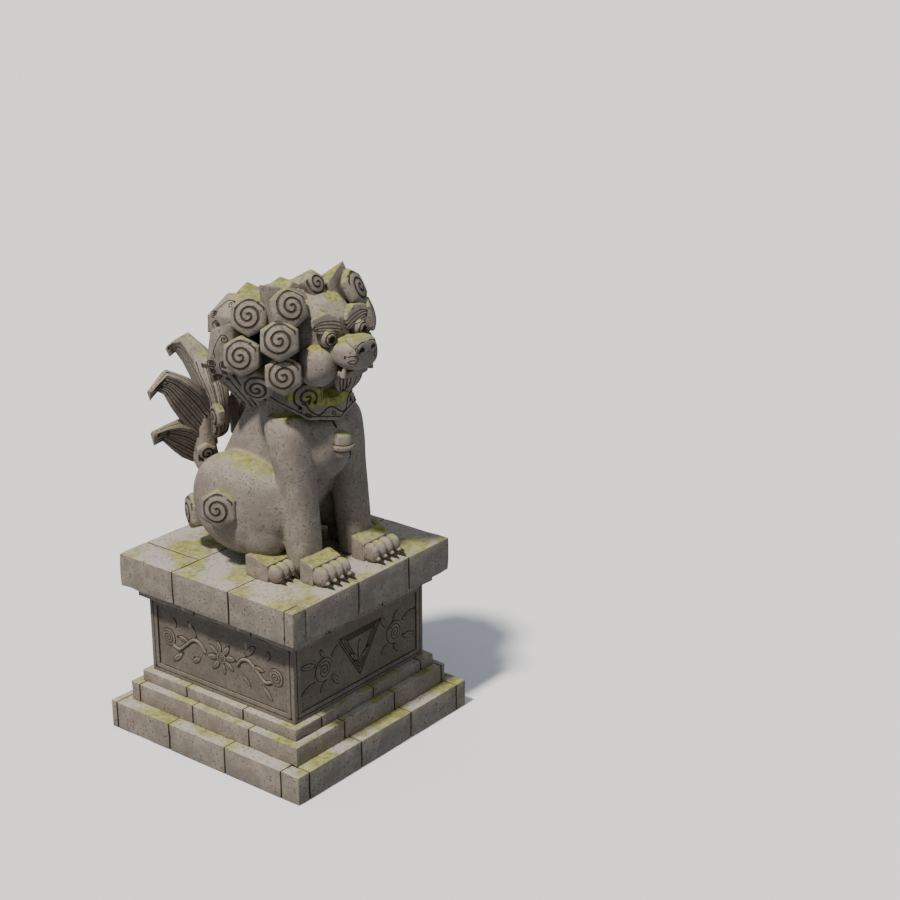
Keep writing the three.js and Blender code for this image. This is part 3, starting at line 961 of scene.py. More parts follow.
@dataclass(frozen=True)
class WeatheredStone:
    """Pitted grey-beige stone with dirt and painted shade in its hollows, painted light on its tops and moss
    on what faces the sky.
    """

    name: str
    light: Colour = (0.320, 0.274, 0.224)
    middle: Colour = (0.218, 0.185, 0.150)
    stained: Colour = (0.15, 0.126, 0.100)
    hollow: Colour = (0.040, 0.029, 0.021)
    field_tone: Colour = (0.58, 0.55, 0.52)
    # painted light: the paler tone that faces looking up are lightened to
    top_light_tone: Colour = (0.52, 0.48, 0.43)
    moss_light: Colour = (0.37, 0.365, 0.095)
    moss_dark: Colour = (0.20, 0.205, 0.045)
    pits: float = 0.8
    moss: float = 0.8
    moss_from: float = 0.50
    moss_gap: tuple[float, float] = (0.45, 0.58)
    # how far the painted light lightens faces that look up
    top_light: float = 0.75
    line_moss: float = 0.85
    # strength and colour of the painted shade that darkens closed-in hollows
    painted_shade_strength: float = 0.66
    shade: Colour = (0.18, 0.16, 0.14)
    relief: float = 0.0044  # metres, reach of the fine relief

    def material(self) -> bpy.types.Material:
        """Builds the finish as a node material.

        Returns:
            The material.
        """
        board = Board(self.name)
        mottle = board.noise(17.0, 5.0, 0.62)
        grain = board.noise(260.0, 3.0, 0.7)
        pit = self._pitting(board, mottle)
        cover = self._moss_cover(board, mottle)
        colour = self._stone_colour(board, mottle, grain, pit)
        tint = board.blend(board.span(board.noise(48.0, 4.0), 0.36, 0.62), self.moss_dark, self.moss_light)
        colour = board.blend(cover, colour, tint)
        # Colour in the lines, joints and dark spots: dirt, and moss where they look up; painted shade in and
        # beside the carved lines and in the pupil and nostril holes.
        green = board.span(board.rise(), 0.1, 0.7, 0.0, self.line_moss)
        dirt_and_shade = board.blend(green, self.hollow, self.moss_light)
        colour = board.blend(board.span(board.carried("groove"), 0.05, 0.85), colour, dirt_and_shade)

        skin = board.math("MULTIPLY", grain, 0.10)
        skin = board.math("ADD", skin, board.math("MULTIPLY", mottle, 0.45))
        skin = board.math("ADD", skin, board.math("MULTIPLY", cover, 0.12))
        skin = board.math("SUBTRACT", skin, board.math("MULTIPLY", pit, 0.4))
        bump = board.node("ShaderNodeBump")
        bump.inputs["Strength"].default_value = 0.75
        bump.inputs["Distance"].default_value = self.relief
        board.feed(bump.inputs["Height"], skin)

        shader = board.node("ShaderNodeBsdfPrincipled")
        board.feed(shader.inputs["Base Color"], colour)
        board.feed(shader.inputs["Roughness"], board.span(mottle, 0.3, 0.7, 0.84, 0.96))
        shader.inputs["Specular IOR Level"].default_value = 0.25
        board.feed(shader.inputs["Normal"], bump.outputs["Normal"])
        output = board.node("ShaderNodeOutputMaterial")
        board.feed(output.inputs["Surface"], shader.outputs["BSDF"])
        return board.material

    def _pitting(self, board: Board, mottle: bpy.types.NodeSocket) -> bpy.types.NodeSocket:
        """Scatters pits of two sizes, more in some places than in others.

        Args:
            board: The node tree.
            mottle: The broad pattern.

        Returns:
            1 in a pit, 0 beside it.
        """
        coarse = board.span(board.noise(88.0, 2.0, 0.6), 0.585, 0.66)
        fine = board.span(board.noise(190.0, 2.0, 0.6), 0.60, 0.68, 0.0, 0.75)
        pit = board.math("MAXIMUM", coarse, fine)
        return board.math("MULTIPLY", pit, board.span(mottle, 0.36, 0.56, 0.25, 1.0))

    def _stone_colour(
        self,
        board: Board,
        mottle: bpy.types.NodeSocket,
        grain: bpy.types.NodeSocket,
        pit: bpy.types.NodeSocket,
    ) -> bpy.types.NodeSocket:
        """Mixes the colours of the stone without its moss and its lines, with painted light on its tops and
        painted shade in its hollows.

        Args:
            board: The node tree.
            mottle: The broad pattern.
            grain: The fine pattern.
            pit: Where the pits are.

        Returns:
            The colour.
        """
        colour = board.blend(board.span(mottle, 0.34, 0.66), self.middle, self.light)
        # Painted light: faces that look up are lightened.
        colour = board.blend(board.span(board.rise(), 0.3, 0.95, 0.0, self.top_light), colour, self.top_light_tone)
        patch = board.span(board.noise(3.1, 3.0), 0.50, 0.70, 0.0, 0.45)
        colour = board.blend(patch, colour, self.stained)
        colour = board.blend(board.span(grain, 0.35, 0.65, 0.0, 0.16), colour, self.light)
        sunk = board.math("MULTIPLY", board.carried("field"), 0.3)
        colour = board.blend(sunk, colour, self.field_tone, "MULTIPLY")
        colour = board.blend(board.math("MULTIPLY", pit, self.pits), colour, self.hollow)
        # Painted shade: closed-in points are darkened towards the shade colour.
        painted_shade = board.span(board.carried("painted_shade"), 0.26, 0.85, 0.0, self.painted_shade_strength)
        return board.blend(painted_shade, colour, self.shade, "MULTIPLY")

    def _moss_cover(self, board: Board, mottle: bpy.types.NodeSocket) -> bpy.types.NodeSocket:
        """Lays moss in patches where the surface looks up, and where the mesh says it has spread.

        Args:
            board: The node tree.
            mottle: The broad pattern.

        Returns:
            How much moss there is.
        """
        spread = board.noise(6.4, 4.0, 0.6)
        sky = board.span(board.rise(), self.moss_from, self.moss_from + 0.32)
        cover = board.math("MULTIPLY", sky, board.span(spread, *self.moss_gap))
        cover = board.math("MULTIPLY", cover, board.span(mottle, 0.30, 0.62, 0.6, 1.0))
        uneven = board.span(spread, 0.25, 0.6, 0.5, 1.3)
        grown = board.span(board.math("MULTIPLY", board.carried("overgrown"), uneven), 0.2, 0.6)
        cover = board.math("MULTIPLY", cover, self.moss)
        return board.math("MAXIMUM", cover, board.math("MULTIPLY", grown, self.moss))


@dataclass(frozen=True)
class PlainGround:
    """Smooth pale ground under the object."""

    name: str = "pale_ground"
    tone: Colour = (0.95, 0.95, 0.95)

    def material(self) -> bpy.types.Material:
        """Builds the finish as a node material.

        Returns:
            The material.
        """
        board = Board(self.name)
        shader = board.node("ShaderNodeBsdfPrincipled")
        shade = tuple(value * 0.985 for value in self.tone)
        board.feed(shader.inputs["Base Color"], board.blend(board.noise(0.8, 2.0), self.tone, shade))
        shader.inputs["Roughness"].default_value = 0.95
        output = board.node("ShaderNodeOutputMaterial")
        board.feed(output.inputs["Surface"], shader.outputs["BSDF"])
        return board.material


def finish_piece(
    mesh: bpy.types.Mesh, name: str, node: str, slot: str, material: bpy.types.Material
) -> bpy.types.Object:
    """Sets a finished mesh in the scene in the place of a node.

    Args:
        mesh: The finished mesh, in metres.
        name: Name of the piece.
        node: The node that it stands for.
        slot: Not used.
        material: Its finish.

    Returns:
        The piece.
    """
    mesh.name = name
    mesh.materials.clear()
    mesh.materials.append(material)
    piece = bpy.data.objects.new(name, mesh)
    bpy.context.scene.collection.objects.link(piece)
    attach(piece, BODY)
    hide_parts(node)
    faces = sum(len(polygon.vertices) - 2 for polygon in mesh.polygons)
    log.info("piece %s: %d triangles", name, faces)
    return piece


def shade_stone(mesh: bpy.types.Mesh, sharp: float) -> None:
    """Smooths the shading of a mesh and keeps its arrises crisp.

    Args:
        mesh: The mesh.
        sharp: Angle from which an edge stays crisp, in degrees.
    """
    mesh.polygons.foreach_set("use_smooth", [True] * len(mesh.polygons))
    mesh.set_sharp_from_angle(angle=math.radians(sharp))


# Plinth
@dataclass
class CourseBlock:
    """One laid block of a course, worn along its arrises."""

    node: str
    half: float  # metres, half width of its course
    arris: float = 0.003
    cell: float = 0.055
    wear: float = 0.0012
    chip: float = 0.007  # metres, depth of the chips along the arrises
    joint: tuple[float, float] = (0.0014, 0.0040)  # metres, the dirt of a joint fades out between these

    def build(self) -> bpy.types.Mesh:
        """Shapes the block from a copy of its solid.

        Returns:
            The mesh, in metres.
        """
        bm = bmesh.new()
        bm.from_mesh(bpy.data.objects[self.node].data)
        bmesh.ops.remove_doubles(bm, verts=bm.verts, dist=1e-6)
        bmesh.ops.dissolve_limit(
            bm, angle_limit=math.radians(3), verts=bm.verts, edges=bm.edges, use_dissolve_boundaries=False
        )
        bmesh.ops.bevel(
            bm,
            geom=bm.edges[:],
            offset=self.arris,
            segments=2,
            profile=0.5,
            affect="EDGES",
            material=-1,
            clamp_overlap=True,
        )
        low, high = (Vector(corner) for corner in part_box(self.node))
        divide(bm, self.cell)
        bm.normal_update()
        for vert in bm.verts:
            vert.co = vert.co - vert.normal * self._worn(vert.co, low, high)
        mesh = as_mesh(bm, self.node)
        values = [self._joint(vert.co, low, high) for vert in mesh.vertices]
        mesh.attributes.new("groove", "FLOAT", "POINT").data.foreach_set("value", values)
        shade_stone(mesh, 50)
        return mesh

    def _worn(self, at: Vector, low: Vector, high: Vector) -> float:
        """Tells how much stone is gone at a point.

        Args:
            at: The point.
            low: Lowest corner of the block.
            high: Highest corner of the block.

        Returns:
            The depth, in metres.
        """
        near = sum(1 for i in range(3) if min(at[i] - low[i], high[i] - at[i]) < self.arris * 1.2)
        rough = 0.5 + 0.5 * noise.noise(at * 9.0)
        chip = max(0.0, noise.noise(at * 21.0 + Vector((3.1, 7.7, 1.3))) - 0.12)
        return self.wear * rough + (self.chip * chip if near > 1 else 0.0)

    def _joint(self, at: Vector, low: Vector, high: Vector) -> float:
        """Tells whether a point is inside a joint between two blocks.

        Args:
            at: The point.
            low: Lowest corner of the block.
            high: Highest corner of the block.

        Returns:
            1 in a joint, 0 on an open face.
        """
        deep = 0.0
        for i in range(2):
            for side in (low[i], high[i]):
                if abs(abs(side) - self.half) > 0.002:
                    deep = max(deep, 1 - smooth_step(abs(at[i] - side), *self.joint))
        return deep


@dataclass
class Plinth:
    """The courses of laid blocks under the figure."""

    courses: tuple[str, ...] = ("bottom_step", "middle_step", "upper_step", "neck", "cap")
    slot: str = "stone"

    def build(self, material: bpy.types.Material) -> None:
        """Builds every block and sets it in place.

        Args:
            material: The finish of the blocks.
        """
        for course in self.courses:
            nodes = [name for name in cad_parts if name.startswith(course)]
            half = max(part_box(name)[1][0] for name in nodes)
            for name in nodes:
                mesh = CourseBlock(name, half).build()
                finish_piece(mesh, f"{name}_stone", name, self.slot, material)


# Carved pieces
# Their sizes are in millimetres: the dado's z from the ground, the figure's from the top of the cap.
@dataclass(frozen=True)
class Leaf:
    """A raised leaf: its root, its tip and half its width, across and up on the field."""

    root: tuple[float, float]
    tip: tuple[float, float]
    half: float

    def turned(self) -> "Leaf":
        """Gives the leaf turned half round the middle of the field."""
        return Leaf((-self.root[0], -self.root[1]), (-self.tip[0], -self.tip[1]), self.half)

    def point(self, share: float, aside: float) -> Vector:
        """Gives a point of the leaf on the field.

        Args:
            share: Place from the root to the tip.
            aside: Place across, from -1 to 1 between its edges.

        Returns:
            The point, at height 0.
        """
        root, tip = Vector((*self.root, 0)), Vector((*self.tip, 0))
        way = (tip - root).normalized()
        width = self.half * math.sin(math.pi * share) ** 0.75
        return root.lerp(tip, share) + Vector((-way.y, way.x, 0)) * (width * aside)


@dataclass(frozen=True)
class Dado:
    """The square carved block: framed sunk fields with flowers and vines on two sides, two suns
    and a triangle in front, and a plain field at the back."""

    node: str = "dado_block"
    slot: str = "carved_stone"
    half: float = 389
    bottom: float = 249
    top: float = 576
    field_half: float = 350
    field_low: float = 283
    field_high: float = 544
    sink: float = 6
    relief: float = 5
    band: float = 20  # mm from the field's edge to the line in the frame
    cell: float = 13
    petals: int = 8
    petal_reach: float = 80
    petal_half: float = 13
    heart: float = 25
    rosette: tuple[float, float, float] = (292, 4, 37)
    vine: Strip = (
        (270, -22), (234, -33), (196, -4), (150, 31), (112, 24), (85, -7),
    )
    sun: tuple[float, float] = (213, 48)
    triangle: Strip = ((-130, 92), (130, 92), (0, -106))
    opening: Strip = ((-75, 68), (80, 72), (0, -62))
    sprig: tuple[Leaf, ...] = (
        Leaf((0, -42), (0, 50), 12), Leaf((-2, -40), (-60, 6), 9), Leaf((2, -40), (56, 2), 9),
    )
    side_leaves: tuple[Leaf, ...] = (
        Leaf((-260, 99), (-247, 58), 8), Leaf((-184, 105), (-133, 49), 12),
        Leaf((-237, 22), (-179, 16), 11), Leaf((-275, -98), (-216, -46), 13),
        Leaf((-163, -68), (-115, -38), 12), Leaf((131, 47), (187, 104), 14),
        Leaf((247, 59), (260, 103), 10), Leaf((172, 14), (233, 10), 10),
        Leaf((111, -38), (157, -78), 9), Leaf((212, -50), (273, -104), 12),
    )
    sun_leaves: tuple[Leaf, ...] = (
        Leaf((-344, 54), (-262, 36), 13), Leaf((-233, 88), (-206, 50), 9),
        Leaf((-166, 36), (-129, 72), 9), Leaf((-167, -38), (-129, -92), 12),
        Leaf((-237, -92), (-203, -51), 9), Leaf((-340, -58), (-259, -37), 10),
    )

    def _side(self, turns: int) -> Matrix:
        """Gives the frame of a side's field: across, up and outward.

        Args:
            turns: Quarter turns from the front, towards the figure's right side.

        Returns:
            The frame.
        """
        middle = (self.field_low + self.field_high) / 2
        front = Matrix((X_AXIS, Z_AXIS, -Y_AXIS)).transposed().to_4x4()
        front.translation = Vector((0, -self.half + self.sink, middle))
        return Matrix.Rotation(-turns * math.pi / 2, 4, "Z") @ front

    def _leaf(self, leaf: Leaf, side: Matrix, carver: Carver) -> BMesh:
        """Shapes a leaf and keeps its outline and its middle line.

        Args:
            leaf: The leaf.
            side: Frame of the side.
            carver: What collects the lines.

        Returns:
            The solid.
        """
        rim = [leaf.point(i / 16, 1) for i in range(17)]
        rim += [leaf.point(1 - i / 16, -1) for i in range(1, 17)]
        carver.add(Groove([side @ point for point in rim], 2.2))
        rib = []
        for i in range(13):
            share = 0.14 + 0.62 * i / 12
            top = self.relief * math.sin(math.pi * share) ** 0.6
            rib.append(side @ (leaf.point(share, 0) + Vector((0, 0, top))))
        carver.add(Groove(rib, 1.3))

        def place(u: float, v: float) -> Vector:
            height = self.relief * math.sin(math.pi * u) ** 0.6
            angle = TAU * v
            return side @ (leaf.point(u, math.cos(angle)) + Vector((0, 0, height * math.sin(angle))))

        return bent(place, 16, 14)

    def _disc(self, middle: tuple[float, float], radius: float, side: Matrix, carver: Carver) -> BMesh:
        """Shapes a domed disc and keeps its outline and its winding line.

        Args:
            middle: Its middle on the field.
            radius: Its radius.
            side: Frame of the side.
            carver: What collects the lines.

        Returns:
            The solid.
        """
        at = Vector((*middle, 0))
        carver.add(Groove([side @ (at + point) for point in circle(radius, 40)], 2.4))
        coil = []
        for point in spiral(radius * 0.08, radius * 0.80, 2.3, 1, 0.6):
            height = self.relief * math.sqrt(max(0.0, 1 - (point.length / radius) ** 2)) ** 0.8
            coil.append(side @ (at + Vector((point.x, point.y, height))))
        carver.add(Groove(coil, 1.5 + radius * 0.022))
        bm = bent(ball((*middle, 0), (radius, radius, self.relief), 2.4), 16, 36)
        bmesh.ops.transform(bm, matrix=side, verts=bm.verts)
        return bm

    def _vine_side(self, side: Matrix, carver: Carver) -> list[BMesh]:
        """Shapes the relief of a side with a flower and two vines.

        Args:
            side: Frame of the side.
            carver: What collects the lines.

        Returns:
            The solids.
        """
        parts = []
        for i in range(self.petals):
            angle = TAU * (i + 0.25) / self.petals
            c, s = math.cos(angle), 0.88 * math.sin(angle)
            root, tip = self.heart * 0.8, self.petal_reach
            petal = Leaf((root * c, root * s), (tip * c, tip * s), self.petal_half)
            parts.append(self._leaf(petal, side, carver))
        parts += [self._leaf(leaf, side, carver) for leaf in self.side_leaves]
        parts.append(self._disc((0, 0), self.heart, side, carver))
        out, up, radius = self.rosette
        for hand in (-1, 1):
            strip = [Vector((hand * p.x, p.y, 0)) for p in evenly(self.vine, 5.0)]
            parts.append(tube([side @ point for point in strip], lambda u: 7.0, 10))
            for aside in (-8.5, 8.5):
                edge = []
                for a, b in zip(strip, strip[1:]):
                    way = (b - a).normalized()
                    edge.append(side @ (a + Vector((-way.y, way.x, 0)) * aside))
                carver.add(Groove(edge, 2.0))
            parts.append(self._disc((hand * out, up), radius, side, carver))
        return parts

    def _frame_lines(self, side: Matrix, rise: float) -> list[Groove]:
        """Draws the line in the frame and the line round the sunk field.

        Args:
            side: Frame of the side.
            rise: Half the height of the field.

        Returns:
            The lines.
        """
        lines = []
        for out, height in ((self.band, self.sink), (0, 0)):
            w, h = self.field_half + out, rise + out * 0.85
            loop = [Vector((x * w, y * h, height)) for x, y in ((-1, -1), (1, -1), (1, 1), (-1, 1))]
            for a, b in zip(loop, loop[1:] + loop[:1]):
                lines.append(Groove([side @ a.lerp(b, i / 40) for i in range(41)], 2.6))
        return lines

    def _mark_fields(self, mesh: bpy.types.Mesh, rise: float) -> None:
        """Writes which faces lie in a sunk field, where the stone is darker.

        Args:
            mesh: The carved block.
            rise: Half the height of the fields.
        """
        middle = (self.field_low + self.field_high) / 2
        values = []
        for polygon in mesh.polygons:
            at = polygon.center
            level = abs(at.z - middle) < rise + 1 and min(abs(at.x), abs(at.y)) < self.field_half + 1
            deep = max(abs(at.x), abs(at.y)) < self.half - self.sink * 0.7
            values += [1.0 if level and deep else 0.0] * polygon.loop_total
        mesh.attributes.new("field", "FLOAT", "CORNER").data.foreach_set("value", values)

    def _sun_side(self, side: Matrix, carver: Carver) -> list[BMesh]:
        """Shapes the relief of the front, with its two suns and its triangle.

        Args:
            side: Frame of the side.
            carver: What collects the lines.

        Returns:
            The solids.
        """
        out, radius = self.sun
        leaves = self.sun_leaves + tuple(leaf.turned() for leaf in self.sun_leaves) + self.sprig
        parts = [self._leaf(leaf, side, carver) for leaf in leaves]
        parts += [self._disc((hand * out, 0), radius, side, carver) for hand in (-1, 1)]
        for step in range(4):
            share = step / 3
            corners = [Vector(a).lerp(Vector(b), share) for a, b in zip(self.triangle, self.opening)]
            corners = [side @ Vector((*corner, 0)) for corner in corners]
            for a, b in zip(corners, corners[1:] + corners[:1]):
                carver.add(Groove([a.lerp(b, i / 12) for i in range(13)], 3.0))
        return parts

    def build(self) -> bpy.types.Mesh:
        """Models the block.

        Returns:
            The mesh, in metres.
        """
        carver = Carver(halo=3.5)
        bm = bmesh.new()
        bmesh.ops.create_cube(bm, size=1)
        size = Matrix.Diagonal((2 * self.half, 2 * self.half, self.top - self.bottom, 1))
        bmesh.ops.transform(
            bm, matrix=Matrix.Translation((0, 0, (self.top + self.bottom) / 2)) @ size, verts=bm.verts
        )
        soften(bm, 2.5)
        divide(bm, self.cell)
        mesh = as_mesh(bm)
        rise = (self.field_high - self.field_low) / 2
        parts: list[BMesh] = []
        for turns in range(4):
            side = self._side(turns)
            hollow = bmesh.new()
            bmesh.ops.create_cube(hollow, size=1)
            size = Matrix.Diagonal((2 * self.field_half, 2 * rise, 2 * self.sink, 1))
            bmesh.ops.transform(
                hollow, matrix=side @ Matrix.Translation((0, 0, self.sink)) @ size, verts=hollow.verts
            )
            divide(hollow, self.cell)
            mesh = Bench.combine(mesh, hollow, Joining.CUT)
            carver.add(*self._frame_lines(side, rise))
            if turns == 0:
                parts += self._sun_side(side, carver)
            elif turns != 2:
                parts += self._vine_side(side, carver)
        for part in parts:
            mesh = Bench.combine(mesh, part, Joining.ADD)
        mesh = carver.cut(mesh)
        carver.mark(mesh)
        self._mark_fields(mesh, rise)
        mesh.transform(Matrix.Scale(MM, 4))
        shade_stone(mesh, CRISP)
        return mesh


@dataclass(frozen=True)
class Curl:
    """A curl: a thick boss of few sides with a domed face and a winding line."""

    at: Point
    normal: Point
    radius: float
    thick: float
    turns: float = 2.25
    sides: int = 6
    dome: float = 0.13
    straight: float = 0.80
    taper: float = 0.80
    face_steps: tuple[float, ...] = (0, 0.14, 0.28, 0.42, 0.56, 0.68, 0.78)
    rim_steps: Strip = ((0.87, -0.045), (0.945, -0.085), (0.988, -0.15), (1.0, -0.24), (0.995, -0.36))

    def _corner(self, angle: float) -> float:
        """Tells how far out the outline lies at an angle, from its corners at 1."""
        step = TAU / self.sides
        local = (angle - math.pi / 2 + step / 2) % step - step / 2
        edge = math.cos(step / 2) / math.cos(step / 2 - abs(local))
        return 1 + self.straight * (edge - 1)

    def _height(self, share: float) -> float:
        """Gives the height of the domed face at a share of the radius."""
        return self.radius * self.dome * (1 - 1.62 * share * share)

    def solid(self) -> BMesh:
        """Shapes the boss.

        Returns:
            The solid.
        """
        frame_here = facing(Vector(self.at), Vector(self.normal))
        rows = [(share, self._height(share)) for share in self.face_steps]
        rows += [(share, depth * self.radius) for share, depth in self.rim_steps]
        rows += [(0.5 + 0.5 * self.taper, rows[-1][1] - 0.4 * self.thick), (self.taper, -self.thick)]
        last = len(rows) - 1

        def place(u: float, v: float) -> Vector:
            share, height = rows[round(u * last)]
            angle = TAU * v
            corner = 1 + (self._corner(angle) - 1) * smooth_step(share, 0.35, 0.9)
            r = self.radius * share * corner
            return frame_here @ Vector((r * math.cos(angle), r * math.sin(angle), height))

        return bent(place, last, 36)

    def line(self) -> Groove:
        """Winds the carved line over the domed face."""
        frame_here = facing(Vector(self.at), Vector(self.normal))
        path = []
        for point in spiral(self.radius * 0.07, self.radius * 0.83, self.turns, -1, 2.0):
            height = self._height(point.length / self.radius)
            path.append(frame_here @ Vector((point.x, point.y, height + 0.8)))
        return Groove(path, 3.9 + self.radius * 0.018)


@dataclass(frozen=True)
class Swirl:
    """A small carved curl of hair with a tail, drawn on a face that looks along its normal."""

    at: Point
    normal: Point
    radius: float
    tail: Strip
    turns: float = 1.4
    hand: int = 1
    top: float = 90.0  # degrees, where the tail runs into the coil
    width: float = 2.4

    def path(self) -> list[Vector]:
        """Draws the tail and the coil.

        Returns:
            The points, from the end of the tail to the middle of the coil.
        """
        lead = math.radians(self.top) - self.hand * self.turns * TAU
        coil = spiral(self.radius * 0.14, self.radius, self.turns, self.hand, lead)[::-1]
        run = evenly([(*spot, 0.0) for spot in self.tail] + [tuple(coil[0]), tuple(coil[2])], 6.0)[:-2]
        frame_here = facing(Vector(self.at), Vector(self.normal))
        return [frame_here @ point for point in run + coil]


@dataclass(frozen=True)
class TailLock:
    """A blade of the tail, with straight edges and angular knees. Its stations give the outer
    edge, the inner edge, the place across and the thickness; it lies across the figure or
    points to the rear."""

    stations: tuple[tuple[float, float, float, float, float, float], ...]
    sideways: bool = True
    lines: tuple[float, ...] = (0.80, 0.50, 0.34, 0.22, 0.08, -0.08, -0.24, -0.42, -0.60, -0.78)
    edge: float = 5.0  # how boxy its section is
    widths: tuple[float, ...] = (1.5, 1.7, 2.0, 1.5, 2.9, 1.6, 1.9, 2.7, 1.7, 2.3)
    starts: tuple[float, ...] = (0.12, 0.06, 0.04, 0.22, 0.03, 0.16, 0.06, 0.04, 0.18, 0.08)
    ends: tuple[float, ...] = (0.90, 0.96, 0.94, 0.80, 0.96, 0.78, 0.92, 0.95, 0.84, 0.90)
    ridge: float = 0.56  # where the blade is thickest: 1 is its outer edge, -1 its inner edge
    thinned: float = 0.84  # share of the thickness that is gone at its edges

    def place(self, u: float, v: float) -> Vector:
        """Gives a point of the blade.

        Args:
            u: Share from the root to the tip.
            v: Share around the section, from the outer edge.

        Returns:
            The point.
        """
        outer_a, outer_b, inner_a, inner_b, back, thick = along(self.stations, u)
        c, s = outline(TAU * v, 0.5, thick / 2, self.edge)
        away = 2 * c - self.ridge
        s *= 1 - self.thinned * (away / (1 - self.ridge) if away > 0 else -away / (1 + self.ridge))
        a = (outer_a + inner_a) / 2 + (outer_a - inner_a) * c
        b = (outer_b + inner_b) / 2 + (outer_b - inner_b) * c
        return Vector((a, back + s, b)) if self.sideways else Vector((s, a, b))

    def solid(self) -> BMesh:
        """Shapes the blade."""
        return bent(self.place, 4 * (len(self.stations) - 1), 36)

    def carved(self) -> list[Groove]:
        """Runs long lines along both broad faces, as the outline runs.

        Returns:
            The lines.
        """
        result = []
        for share, radius, start, end in zip(self.lines, self.widths, self.starts, self.ends):
            turn = math.acos(math.copysign(abs(share) ** (self.edge / 2), share)) / TAU
            for v in (turn, 1 - turn):
                path = [self.place(start + (end - start) * i / 30, v) for i in range(31)]
                result.append(Groove(path, radius))
        return result


@dataclass(frozen=True)
class Paw:
    """A paw: a block with four round toes, each with a dark claw."""

    x: float
    back: float
    heel: float
    front: float
    half: float
    height: float
    reach: float
    claw: float
    toes: int = 4
    toe_half: float = 24
    toe_inset: float = 22

    def block(self) -> BMesh:
        """Shapes the block behind the toes, on both sides."""
        corners = []
        for side in (-1, 1):
            back, front = self.x + side * self.half * 0.92, self.x + side * self.half * 0.98
            corners += [
                (back, self.back, 0),
                (back, self.back, self.height * 0.97),
                (front, self.heel, self.height),
                (front, self.front + 16, self.height * 0.80),
                (front, self.front + 16, 0),
                (front, self.heel, 0),
            ]
        return hewn(corners, arris=3)

    def toe_places(self) -> list[float]:
        """Gives where the toes stand across the paw."""
        span = self.half - self.toe_inset
        return [self.x - span + 2 * span * i / (self.toes - 1) for i in range(self.toes)]

    def toe(self, x: float) -> BMesh:
        """Shapes one toe."""
        size = (self.toe_half, self.reach + 4, self.height * 0.41)
        return bent(ball((x, self.front - 6, self.height * 0.41), size, 2.1), 12, 16)

    def nail(self, x: float) -> BMesh:
        """Shapes one claw, from its root in the toe to its point on the ground."""
        rings = (
            (x, self.front + 6, self.height * 0.34, 12, 15),
            (x, self.front - self.reach * 0.72, self.height * 0.28, 11, 14),
            (x, self.front - self.reach - self.claw * 0.30, self.height * 0.17, 7.5, 9),
            (x, self.front - self.reach - self.claw * 0.72, 9.5, 3.6, 4.5),
            (x, self.front - self.reach - self.claw, 5.5, 0.7, 1.0),
        )
        return bent(over_rings(rings, X_AXIS, Z_AXIS, 2.0), 12, 12)

    def dark_spots(self) -> list[DarkSpot]:
        """Marks the claws' points, which are dark."""
        tips = []
        for x in self.toe_places():
            for share, radius in ((0.62, 17.0), (0.9, 14.0)):
                y = self.front - self.reach - self.claw * share
                tips.append(DarkSpot(Vector((x, y, self.height * 0.12)), radius))
        return tips


@dataclass(frozen=True)
class Masses:
    """The large forms of body, limbs and neck, which melt into one skin."""

    trunk: tuple[Ring, ...] = (
        (0, 150, 0, 100, 100),
        (0, 120, 60, 150, 160),
        (0, 78, 200, 185, 235),
        (0, 20, 350, 182, 242),
        (0, -20, 466, 172, 218),
        (0, -45, 560, 164, 182),
        (0, -70, 655, 150, 150),
        (0, -85, 770, 146, 146),
    )
    front_leg: tuple[Ring, ...] = (
        (-146, -244, 0, 68, 50),
        (-146, -236, 110, 71, 60),
        (-145, -222, 250, 73, 63),
        (-144, -206, 375, 76, 68),
        (-148, -190, 466, 80, 76),
        (-146, -168, 566, 80, 82),
        (-134, -152, 620, 62, 66),
    )
    haunch: tuple[Point, Point] = ((-192, 32, 236), (130, 240, 204))
    thigh: tuple[Point, Point] = ((-208, -88, 145), (90, 100, 112))
    chest: tuple[Point, Point] = ((0, -165, 470), (140, 150, 155))
    grain: float = 7.0
    passes: int = 3
    kept: float = 0.30  # share of the skin's faces that is kept

    def solids(self) -> list[BMesh]:
        """Shapes every mass.

        Returns:
            The solids, which overlap.
        """
        return [
            bent(over_rings(self.trunk, X_AXIS, Y_AXIS, 2.4), 40, 44),
            both_sides(bent(over_rings(self.front_leg, X_AXIS, Y_AXIS, 2.6), 32, 28)),
            both_sides(bent(ball(*self.haunch, 2.15), 24, 36)),
            both_sides(bent(ball(*self.thigh), 18, 28)),
            bent(ball(*self.chest), 20, 32),
        ]

    def melted(self) -> BMesh:
        """Melts the masses into one skin.

        Returns:
            The skin.
        """
        skin = Bench.fuse(as_mesh(joined(self.solids())), self.grain, self.passes, self.kept)
        log.info("fused masses: %d faces", len(skin.polygons))
        return as_bmesh(skin)


